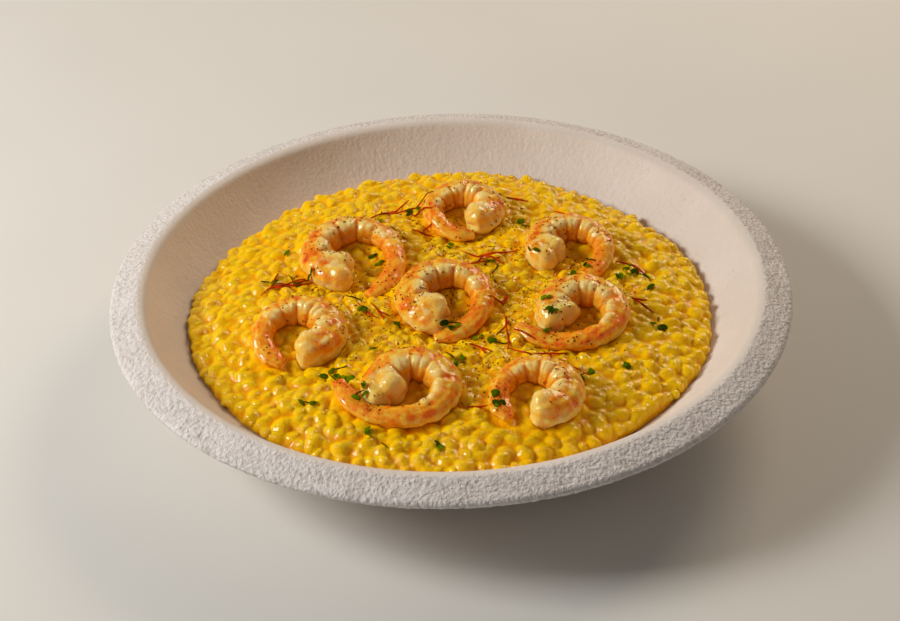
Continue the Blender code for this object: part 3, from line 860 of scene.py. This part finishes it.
def grain_tops(points):
    """Sum of the grains' terms at each place, for the soft maximum."""
    i = (points[:, 0] + HALF) / CELL
    j = (points[:, 1] + HALF) / CELL
    i0, j0 = i.astype(int), j.astype(int)
    fi, fj = i - i0, j - j0
    return (total[i0, j0] * (1 - fi) * (1 - fj) + total[i0 + 1, j0] * fi * (1 - fj)
            + total[i0, j0 + 1] * (1 - fi) * fj + total[i0 + 1, j0 + 1] * fi * fj)


# %% [markdown]
# ## The mesh of the bed
# A triangulation of evenly spaced points fills the outline. Each point takes its height from the
# map, stays under the shrimp that lies over it, and meets the wall at the edge. The sides and the
# floor of the mound are hidden in the bowl and stay plain.

# %% Triangulate the outline
BED_PITCH = 0.85
ROW = 0.866
EDGE_POINTS = 720
EDGE_OUT = 0.3
EDGE_MARGIN = 0.6
GAP = 0.25
WOBBLES = ((0.0, 19, 1.0), (0.4, 38, 0.5))

outline = []
for i in range(EDGE_POINTS):
    a = 2 * math.pi * i / EDGE_POINTS
    wobble = sum(noise.noise(Vector((math.cos(a), math.sin(a), level)) * scale) * depth
                 for level, scale, depth in WOBBLES)
    outline.append((edge_radius(math.cos(a), math.sin(a)) + wobble + EDGE_OUT, a))


def outline_radius(x, y):
    """Radius of the wobbling outline in the direction of a place, in mm."""
    return outline[round(math.atan2(y, x) / (2 * math.pi) * EDGE_POINTS) % EDGE_POINTS][0]


spots = [((r - GAP) * math.cos(a), (r - GAP) * math.sin(a)) for r, a in outline]
rows, columns = int(HALF / BED_PITCH / ROW), int(HALF / BED_PITCH)
for row in range(-rows, rows + 1):
    for column in range(-columns, columns + 1):
        x, y = (column + 0.5 * (row % 2)) * BED_PITCH, row * ROW * BED_PITCH
        if math.hypot(x, y) < outline_radius(x, y) - EDGE_MARGIN:
            spots.append((x, y))
loop = [(i, (i + 1) % EDGE_POINTS) for i in range(EDGE_POINTS)]
found = geometry.delaunay_2d_cdt([Vector(p) for p in spots], loop, [], 1, 1e-7)
faces, order = found[2], [origin[0] for origin in found[3]]
points = np.array(spots)[order]
print("bed:", len(points), "points and", len(faces), "triangles")

# %% Heights of the bed
SAUCE_WAVES = ((2.2, 0, 0.25), (12, 5, 0.8))
CREAM = 0.10
SHRIMP_NEAR = 3.0
SHRIMP_GAP = 0.15


def waves(length, level):
    """A noise from -1 to 1 at each point of the bed, whose waves have this length in mm."""
    return np.array([noise.noise(Vector((x / length, y / length, level))) for x, y in points])


def ray_tree(piece):
    """The faces of a piece in mm, sorted for ray casts."""
    return BVHTree.FromPolygons([v.co / MM for v in piece.data.vertices],
                                [tuple(f.vertices) for f in piece.data.polygons])


room = room_beside(points)
sauce = np.array([bed_height(x, y) for x, y in points]) - SAUCE_DEPTH
sauce += sum(depth * waves(length, level) for length, level, depth in SAUCE_WAVES)
heights = grain_tops(points) + np.exp(sauce / SOFTNESS - OFFSET)
heights = SOFTNESS * (np.log(heights) + OFFSET) + CREAM * waves(1.1, 3)
trees = [ray_tree(piece) for piece in shrimps]
for i, (x, y) in enumerate(points):
    r = math.hypot(x, y)
    if room[i] <= SHRIMP_NEAR:
        hits = [tree.ray_cast(Vector((x, y, 0)), Vector((0, 0, 1)))[0] for tree in trees]
        heights[i] = min([heights[i]] + [hit.z - SHRIMP_GAP for hit in hits if hit])
    heights[i] = max(heights[i], wall_height(r) + GAP)
    if order[i] < EDGE_POINTS:
        heights[i] = wall_height(r + GAP) + GAP
print("bed from", round(heights.min(), 1), "to", round(heights.max(), 1), "mm")

# %% Close the bed
bm = bmesh.new()
verts = [bm.verts.new((x * MM, y * MM, z * MM)) for (x, y), z in zip(points, heights)]
for face in faces:
    bm.faces.new([verts[i] for i in face])
bm.verts.index_update()
# The height over the sauce sets the bed's orange in the low gaps, partly sauce colour and partly
# painted shade.
level = bm.verts.layers.float.new("level")
for v in bm.verts:
    v[level] = heights[v.index] - sauce[v.index]
ring = [e for e in bm.edges if e.is_boundary]
for angle in (RICE_COVERS, -72, -90):
    r = WALL_MIDDLE[0] + WALL_RADIUS * math.cos(math.radians(angle))
    z = WALL_MIDDLE[1] + WALL_RADIUS * math.sin(math.radians(angle))
    grown = bmesh.ops.extrude_edge_only(bm, edges=ring)["geom"]
    ring = [g for g in grown if isinstance(g, bmesh.types.BMEdge)]
    for v in [g for g in grown if isinstance(g, bmesh.types.BMVert)]:
        wide = math.hypot(v.co.x, v.co.y)
        v.co.x *= (r - GAP) * MM / wide
        v.co.y *= (r - GAP) * MM / wide
        v.co.z = (z + GAP) * MM
bmesh.ops.edgeloop_fill(bm, edges=ring)
bmesh.ops.recalc_face_normals(bm, faces=bm.faces)
bed_mesh = bpy.data.meshes.new("risotto_bed")
bm.to_mesh(bed_mesh)
bm.free()
print("bed:", len(bed_mesh.polygons), "faces")

# %% [markdown]
# ## Saffron rice
# Risotto rice cooked in saffron stock is deep yellow. The grains are a little paler than the
# starchy sauce, which gathers in the gaps. There the bed turns orange, partly as the sauce's own
# colour and partly as painted shade. Grains and sauce let light in, so they get scattering. A
# smooth clear coat over a bumpy grain is the film of wet starch: it mirrors the window as small
# crisp glints. Each grain has its own tone, stored when it is scattered, and the bed reads how
# high it stands over the sauce.

# %% Materials: rice and sauce
def rice_material(name, number, low, high, pale, deep, coat):
    """Rice whose colour goes from deep to pale as a stored number goes from low to high."""
    made, tree, shader = new_material(name)
    where = add_node(tree, "ShaderNodeTexCoord", out="Object")
    value = add_node(tree, "ShaderNodeAttribute", out="Fac", attribute_name=number)
    cloud = add_node(tree, "ShaderNodeTexNoise", {"Vector": where, "Scale": 320.0, "Detail": 3.0})
    mixed = add_node(tree, "ShaderNodeMath", {0: cloud, 1: 0.5, 2: value},
                     operation="MULTIPLY_ADD")
    share = add_node(tree, "ShaderNodeMapRange", {"Value": mixed, "From Min": low,
                     "From Max": high})
    base = add_node(tree, "ShaderNodeMix", {"Factor": share, "A": colour(deep),
                    "B": colour(pale)}, data_type="RGBA")
    ripple = add_node(tree, "ShaderNodeTexNoise", {"Vector": where, "Scale": 480.0, "Detail": 2.0,
                      "Distortion": 1.8})
    bump = add_node(tree, "ShaderNodeBump", {"Height": ripple, "Strength": 0.55,
                    "Distance": 0.6 * MM})
    connect(shader, {"Base Color": base, "Normal": bump, "Roughness": 0.38, "IOR": 1.4,
                     "Specular IOR Level": 0.0, "Subsurface Weight": 0.5,
                     "Subsurface Radius": (1.0, 0.85, 0.15), "Subsurface Scale": 1.8 * MM,
                     "Coat Weight": coat, "Coat Roughness": 0.03, "Coat IOR": 1.4})
    print(name + ":", len(tree.nodes), "nodes")
    return made


# The bed's deep colour in its low gaps is partly the sauce's own and partly painted shade.
bed_rice = rice_material("saffron_rice_in_starch", "level", 0.3, 1.5, "#FFC202", "#F4A600", 0.60)
loose_rice = rice_material("saffron_rice_grains", "tone", 0.1, 1.3, "#FFC804", "#FDB600", 1.0)
rice_bed = mesh_object("risotto_bed", bed_mesh, bed_rice)
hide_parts("risotto")

# %% [markdown]
# ## The grains themselves
# Placing some thousand grains by hand would take days, so Geometry Nodes do it. The list becomes
# a mesh of loose points that carry each grain's turn and size. The tree shapes one grain from a
# sphere of few faces, bent like a bean, puts a copy on each point, gives it a random tone, and
# makes all copies real at the end. The helpers are written so that leaves, pepper and threads
# can use them too. A grain that a shrimp would cover is left out.

# %% Helpers for Geometry Nodes
def empty_tree(name, number, kind="NodeSocketFloat"):
    """A tree with a geometry in and out and one named number, and its two end nodes."""
    tree = bpy.data.node_groups.new(name, "GeometryNodeTree")
    for label, way, socket in (("Geometry", "INPUT", "NodeSocketGeometry"),
                               (number, "INPUT", kind),
                               ("Geometry", "OUTPUT", "NodeSocketGeometry")):
        tree.interface.new_socket(label, in_out=way, socket_type=socket)
    return tree, tree.nodes.new("NodeGroupInput"), tree.nodes.new("NodeGroupOutput")


def finish_tree(tree, copies, material, result):
    """Give each copy a random tone, make all real, and set their material."""
    chance = add_node(tree, "FunctionNodeRandomValue", {"Seed": 4}, data_type="FLOAT")
    toned = add_node(tree, "GeometryNodeStoreNamedAttribute", {"Geometry": copies,
                     "Name": "tone", "Value": chance}, data_type="FLOAT", domain="INSTANCE")
    real = add_node(tree, "GeometryNodeRealizeInstances", {"Geometry": toned})
    done = add_node(tree, "GeometryNodeSetMaterial", {"Geometry": real, "Material": material})
    connect(result, {0: done})


def lay_copies(tree, shape, given, material, result):
    """Lay a copy of a shape on each given point, by the turn and size that the point carries."""
    turn, size = [add_node(tree, "GeometryNodeInputNamedAttribute", {"Name": name},
                           data_type="FLOAT_VECTOR") for name in ("turn", "size")]
    facing = add_node(tree, "FunctionNodeEulerToRotation", {0: turn})
    laid = add_node(tree, "GeometryNodeInstanceOnPoints",
                    {"Points": given.outputs["Geometry"], "Instance": shape, "Rotation": facing,
                     "Scale": size})
    finish_tree(tree, laid, material, result)


def run_tree(base, tree, values):
    """The plain mesh that a tree makes from a base mesh."""
    holder = add_object(tree.name, base)
    modifier = holder.modifiers.new("nodes", "NODES")
    modifier.node_group = tree
    for item in tree.interface.items_tree:
        if item.in_out == "INPUT" and item.name in values:
            modifier[item.identifier] = values[item.name]
    bpy.context.view_layer.update()
    seen = holder.evaluated_get(bpy.context.evaluated_depsgraph_get())
    mesh = bpy.data.meshes.new_from_object(seen)
    bpy.data.objects.remove(holder)
    return mesh


def points_mesh(name, places, turns, sizes):
    """Loose points in metres that carry a turn and a size."""
    mesh = bpy.data.meshes.new(name)
    mesh.from_pydata(places, [], [])
    for label, values in (("turn", turns), ("size", sizes)):
        layer = mesh.attributes.new(label, "FLOAT_VECTOR", "POINT")
        layer.data.foreach_set("vector", np.array(values, dtype=float).ravel())
    return mesh


# %% A node tree that lays grains on points
grain_tree, given, result = empty_tree("lay_grains", "Bend")
ball = add_node(grain_tree, "GeometryNodeMeshUVSphere", {"Segments": 8, "Rings": 6, "Radius": 1.0})
lying = add_node(grain_tree, "GeometryNodeTransform", {"Geometry": ball,
                 "Rotation": (0.0, math.pi / 2, 0.0)})
place = add_node(grain_tree, "GeometryNodeInputPosition")
length = add_node(grain_tree, "ShaderNodeSeparateXYZ", {0: place}, "X")
square = add_node(grain_tree, "ShaderNodeMath", {0: length, 1: length}, operation="MULTIPLY")
sway = add_node(grain_tree, "ShaderNodeMath", {0: square, 1: given.outputs["Bend"]},
                operation="MULTIPLY")
shift = add_node(grain_tree, "ShaderNodeCombineXYZ", {"Y": sway})
bean = add_node(grain_tree, "GeometryNodeSetPosition", {"Geometry": lying, "Offset": shift})
lay_copies(grain_tree, bean, given, loose_rice, result)
print("grain tree:", len(grain_tree.nodes), "nodes")

# %% Lay the grains
MOST_GRAINS = 2400
BEND = 0.25
ROOM_NEEDED = 0.55

for name, grains in (("grains_bedded", bedded), ("grains_on_top", heaped)):
    rooms = room_beside(np.array([(g.x, g.y) for g in grains]))
    shown = [g for g, room in zip(grains, rooms) if room > ROOM_NEEDED * g.long]
    shown = sorted(shown, key=lambda g: bed_height(g.x, g.y) - g.z - g.high)[:MOST_GRAINS]
    spots = points_mesh(name, [(g.x * MM, g.y * MM, g.z * MM) for g in shown],
                        [(g.roll, g.tip, g.turn) for g in shown],
                        [(g.long * MM, g.wide * MM, g.high * MM) for g in shown])
    piece = mesh_object(name, run_tree(spots, grain_tree, {"Bend": BEND}), loose_rice)
    print(name, len(shown), "grains,", len(piece.data.polygons), "faces")

# %% [markdown]
# ## The ground for the garnish
# Herbs, threads and specks lie on whatever is under them, rice or shrimp. One ray cast from
# above finds the place and the direction of the surface there.

# %% Find the top surface
FOOD = ("risotto_bed", "grains_", "cooked_")
ABOVE_ALL = 80
ground = [(piece.name, ray_tree(piece)) for piece in bpy.context.scene.objects
          if piece.name.startswith(FOOD)]


def top_at(x, y):
    """Highest place under a point in mm, the direction of the surface, and the piece's name."""
    best = (Vector((x, y, wall_height(math.hypot(x, y)))), Vector((0, 0, 1)), "")
    for name, tree in ground:
        place, normal = tree.ray_cast(Vector((x, y, ABOVE_ALL)), Vector((0, 0, -1)))[:2]
        if place and place.z > best[0].z:
            best = (place, normal, name)
    return best


print("pieces that carry garnish:", len(ground))

# %% [markdown]
# ## Chopped herbs
# Thyme or parsley leaves, chopped small, lie in loose pairs and threes, and each place in the
# list has a number of these. A leaf is a small oval of 32 faces, cupped along its middle. It rests
# on the highest of four places under it, and lies as three of them slope. Geometry Nodes lay the
# copies, as for the rice, and the tone of each leaf turns its green from dark to fresh. It is
# matt, with a fine bump for its veins.

# %% Material: herb leaf
leaf_green, tree, shader = new_material("chopped_herb_leaf")
where = add_node(tree, "ShaderNodeTexCoord", out="Object")
tone = add_node(tree, "ShaderNodeAttribute", out="Fac", attribute_name="tone")
green = add_node(tree, "ShaderNodeMix", {"Factor": tone, "A": colour("#2C3E00"),
                 "B": colour("#6A8400")}, data_type="RGBA")
veins = add_node(tree, "ShaderNodeTexNoise", {"Vector": where, "Scale": 1500.0, "Detail": 2.0})
bump = add_node(tree, "ShaderNodeBump", {"Height": veins, "Strength": 0.5, "Distance": 0.15 * MM})
connect(shader, {"Base Color": green, "Normal": bump, "Roughness": 0.6,
                 "Specular IOR Level": 0.0})
print("herb leaf:", len(tree.nodes), "nodes")

# %% Where the leaves lie
HERB_SPREAD = 3.5
LEAF_SPREAD = 1.5
LEAF_LONG, LEAF_CUP = 1.45, 0.9
PROPS = ((0, 0), (1, 0), (-0.5, 0.9), (-0.5, -0.9))
HERBS = (
    (-75, 8, 3), (-62, 10, 2), (-71, 35, 1), (-30, 58, 1), (-13, 64, 2), (-32, 25, 2),
    (-37, -10, 2), (-19, -24, 1), (-22, 49, 1), (-4, 31, 1), (25, 74, 1), (33, 48, 2),
    (34, 16, 1), (54, 14, 2), (78, 14, 4), (82, 2, 1), (72, -7, 1), (81, -22, 2),
    (37, -22, 1), (42, -29, 3), (19, 19, 2), (67, 5, 1), (1, -29, 3), (14, -37, 2),
    (4, -51, 2), (17, -78, 2), (70, -49, 1), (52, -59, 2), (-28, -35, 1), (-50, -51, 2),
    (-41, -59, 3), (-56, -68, 2), (-35, -74, 3), (-30, -89, 2), (-9, -98, 1),
)


def lie_on(normal, spin, tip):
    """Euler turn of a thing that lies on a slope."""
    flat = Vector((0, 0, 1)).rotation_difference(normal).to_matrix()
    own = Matrix.Rotation(spin, 3, "Z") @ Matrix.Rotation(tip, 3, "Y")
    return tuple((flat @ own).to_euler())


places, turns, sizes = [], [], []
spread = random.Random(5)
loose = random.Random(6)
for x, y, count in HERBS:
    for _ in range(count):
        px = x + spread.uniform(-1, 1) * HERB_SPREAD
        py = y + spread.uniform(-1, 1) * HERB_SPREAD
        for _ in range(loose.choice((1, 2, 2, 3))):
            lx, ly = [at + loose.uniform(-LEAF_SPREAD, LEAF_SPREAD) for at in (px, py)]
            props = [top_at(lx + dx, ly + dy)[0] for dx, dy in PROPS]
            normal = (props[2] - props[1]).cross(props[3] - props[1]).normalized()
            size = loose.uniform(0.95, 1.5)
            places.append((lx * MM, ly * MM, (max(p.z for p in props) + 0.1) * MM))
            turns.append(lie_on(normal, loose.uniform(0, 6.3), loose.gauss(0, 0.35)))
            sizes.append((LEAF_LONG * size * MM, loose.uniform(0.65, 1.0) * size * MM,
                          LEAF_CUP * MM))
print("leaves:", len(places))

# %% Lay the leaves
tree, given, result = empty_tree("lay_leaves", "Cup")
blade = add_node(tree, "GeometryNodeMeshUVSphere", {"Segments": 8, "Rings": 4, "Radius": 1.0})
place = add_node(tree, "GeometryNodeInputPosition")
across, up = [add_node(tree, "ShaderNodeSeparateXYZ", {0: place}, axis) for axis in "YZ"]
side = add_node(tree, "ShaderNodeMath", {0: across}, operation="ABSOLUTE")
fold = add_node(tree, "ShaderNodeMath", {0: side, 1: given.outputs["Cup"]}, operation="MULTIPLY")
thin = add_node(tree, "ShaderNodeMath", {0: up, 1: -0.82, 2: fold}, operation="MULTIPLY_ADD")
shift = add_node(tree, "ShaderNodeCombineXYZ", {"Z": thin})
cupped = add_node(tree, "GeometryNodeSetPosition", {"Geometry": blade, "Offset": shift})
lay_copies(tree, cupped, given, leaf_green, result)
spots = points_mesh("herb_spots", places, turns, sizes)
herbs = mesh_object("chopped_herbs", run_tree(spots, tree, {"Cup": 0.5}), leaf_green)
print("herbs:", len(herbs.data.polygons), "faces")

# %% [markdown]
# ## Saffron threads
# Dried saffron stigmas are thin, dark red and curled, and they lie over the grains rather than
# between them. Each thread's path steps over the surface by ray casts, with a slow bend, and is
# smoothed so that it bridges the gaps. Longer threads send off short side threads, as torn
# stigmas do. Geometry Nodes turn the paths to tubes that thin towards their ends.

# %% Material: saffron
saffron, tree, shader = new_material("saffron_stigma")
where = add_node(tree, "ShaderNodeTexCoord", out="Object")
streak = add_node(tree, "ShaderNodeTexNoise", {"Vector": where, "Scale": 160.0, "Detail": 3.0})
share = add_node(tree, "ShaderNodeMapRange", {"Value": streak, "From Min": 0.4, "From Max": 0.6})
reds = add_node(tree, "ShaderNodeMix", {"Factor": share, "A": colour("#8A1600"),
                "B": colour("#D84400")}, data_type="RGBA")
connect(shader, {"Base Color": reds, "Roughness": 0.65, "Specular IOR Level": 0.05})
print("saffron:", len(tree.nodes), "nodes")

# %% Where the threads lie
Thread = namedtuple("Thread", "x y heading length bend")
THREADS = (
    Thread(-79, 3, 50, 21, -40), Thread(-72, 11, -16, 15, 10), Thread(-36, 58, 25, 31, -35),
    Thread(-16, 48, -13, 9, 0), Thread(-38, -8, -65, 12, 20), Thread(-33, -8, -50, 13, -20),
    Thread(5, 29, -38, 27, 95), Thread(5, 16, 20, 18, 25), Thread(47, 63, -40, 26, 20),
    Thread(26, 73, -20, 10, 15), Thread(70, 19, -15, 13, -20), Thread(71, -7, -30, 15, -30),
    Thread(15, -13, 10, 15, 75), Thread(21, -18, -66, 24, -20), Thread(22, -40, -35, 36, 15),
    Thread(7, -39, -15, 10, -30), Thread(5, -77, -3, 8, 10),
)
THREAD_STEP = 1.0
THREAD_LIFT = 0.15


def thread_path(thread):
    """Points of a thread over the food, smoothed so that it bridges the gaps."""
    steps = round(thread.length / THREAD_STEP)
    heading = math.radians(thread.heading)
    x, y = thread.x, thread.y
    path = []
    for i in range(steps + 1):
        path.append(top_at(x, y)[0])
        curl = noise.noise(Vector((x / 6, y / 6, thread.length))) * 0.12
        x += THREAD_STEP * math.cos(heading)
        y += THREAD_STEP * math.sin(heading)
        heading += math.radians(thread.bend) / steps + curl
    highs = [max(p.z for p in path[max(i - 2, 0):i + 3]) for i in range(len(path))]
    smooth = [np.mean(highs[max(i - 2, 0):i + 3]) for i in range(len(path))]
    return [Vector((p.x, p.y, z + THREAD_LIFT)) for p, z in zip(path, smooth)]


def side_thread(thread, twigs):
    """A shorter thread that leaves another one part of the way along."""
    at = thread.length * twigs.uniform(0.25, 0.6)
    heading = thread.heading + thread.bend * at / thread.length
    middle = math.radians((thread.heading + heading) / 2)
    return Thread(thread.x + at * math.cos(middle), thread.y + at * math.sin(middle),
                  heading + twigs.choice((-1, 1)) * twigs.uniform(20, 45),
                  thread.length * twigs.uniform(0.3, 0.5), twigs.uniform(-30, 30))


SIDE_SPACING = 13
twigs = random.Random(4)
all_threads = list(THREADS)
for thread in THREADS:
    all_threads += [side_thread(thread, twigs) for _ in range(round(thread.length / SIDE_SPACING))]
print("threads:", len(THREADS), "and", len(all_threads) - len(THREADS), "side threads")


# %% Spin the threads
THREAD_RADIUS = 0.40


def spun(name, paths, radius, material):
    """One piece of thin tubes that follow the paths, thickest in the middle."""
    verts, edges, widths = [], [], []
    for path in paths:
        first = len(verts)
        verts += [tuple(p * MM) for p in path]
        edges += [(first + i, first + i + 1) for i in range(len(path) - 1)]
        widths += [0.30 + 0.70 * math.sin(math.pi * (i + 0.6) / (len(path) + 0.2)) ** 0.6
                   for i in range(len(path))]
    lines = bpy.data.meshes.new(name + "_paths")
    lines.from_pydata(verts, edges, [])
    store(lines, "width", widths)
    tree, given, result = empty_tree("spin_" + name, "Radius")
    curves = add_node(tree, "GeometryNodeMeshToCurve", {"Mesh": given.outputs["Geometry"]})
    width = add_node(tree, "GeometryNodeInputNamedAttribute", {"Name": "width"},
                     data_type="FLOAT")
    scaled = add_node(tree, "ShaderNodeMath", {0: width, 1: given.outputs["Radius"]},
                      operation="MULTIPLY")
    circle = add_node(tree, "GeometryNodeCurvePrimitiveCircle", {"Resolution": 6, "Radius": 1.0})
    tubes = add_node(tree, "GeometryNodeCurveToMesh", {"Curve": curves, "Profile Curve": circle,
                     "Scale": scaled, "Fill Caps": True})
    finish_tree(tree, tubes, material, result)
    print(name + ":", len(paths))
    return mesh_object(name, run_tree(lines, tree, {"Radius": radius * MM}), material)


spun("saffron_threads", [thread_path(t) for t in all_threads], THREAD_RADIUS, saffron)

# %% [markdown]
# ## Herb stems
# Short bits of stem lie among the leaves. They are spun in the same way as the threads, only
# thinner and shorter, in the green of the leaves.

# %% Lay the stems
STEM_RADIUS = 0.27
STEM_SPREAD = 4
stems = []
for x, y, count in HERBS:
    for _ in range(count // 2):
        at = [place + twigs.uniform(-STEM_SPREAD, STEM_SPREAD) for place in (x, y)]
        stems.append(Thread(*at, twigs.uniform(0, 360), twigs.uniform(3, 8),
                            twigs.uniform(-60, 60)))
herb_stems = spun("herb_stems", [thread_path(t) for t in stems], STEM_RADIUS, leaf_green)
store(herb_stems.data, "tone", [0.0] * len(herb_stems.data.vertices))

# %% [markdown]
# ## Ground pepper
# Ground pepper is strewn over the shrimp and the middle of the rice, and thins out to the edge.
# Most specks are fine and a few are coarse. Each is a tiny angular chip, so a copy of a sphere
# with fifteen faces is enough.

# %% Material: pepper
pepper, tree, shader = new_material("ground_black_pepper")
tone = add_node(tree, "ShaderNodeAttribute", out="Fac", attribute_name="tone")
husk = add_node(tree, "ShaderNodeMix", {"Factor": tone, "A": colour("#6A3804"),
                "B": colour("#A86C10")}, data_type="RGBA")
connect(shader, {"Base Color": husk, "Roughness": 0.9, "Specular IOR Level": 0.0})
print("pepper:", len(tree.nodes), "nodes")

# %% Strew the pepper
SPECKS = 2800
STREWN_RADIUS = 92
FINEST, COARSER = 0.14, 0.34
ON_SHRIMP, ON_RICE = 0.5, 0.8

places, turns, sizes = [], [], []
strew = random.Random(11)
while len(places) < SPECKS:
    r, a = STREWN_RADIUS * math.sqrt(strew.random()), strew.uniform(0, 2 * math.pi)
    x, y = r * math.cos(a), r * math.sin(a)
    place, normal, name = top_at(x, y)
    on_rice = ON_RICE * (1 - ramp(r, 45, 85))
    wanted = ON_SHRIMP if name.startswith("cooked_") else on_rice
    wanted *= max(0.35 + 1.6 * noise.noise(Vector((x / 9, y / 9, 2.2))), 0.04)
    if strew.random() < wanted and normal.z > 0.15:
        size = FINEST + COARSER * strew.random() ** 2.2
        places.append(tuple((place + normal * 0.08) * MM))
        turns.append(lie_on(normal, strew.uniform(0, 6.3), strew.uniform(-0.5, 0.5)))
        sizes.append((size * strew.uniform(1, 1.9) * MM, size * MM, size * 0.6 * MM))
tree, given, result = empty_tree("strew_chips", "Facets", "NodeSocketInt")
chip = add_node(tree, "GeometryNodeMeshUVSphere", {"Segments": given.outputs["Facets"],
                "Rings": 3, "Radius": 1.0})
lay_copies(tree, chip, given, pepper, result)
specks = points_mesh("specks", places, turns, sizes)
mesh_object("ground_pepper", run_tree(specks, tree, {"Facets": 5}), pepper)
print("pepper:", len(places), "specks")
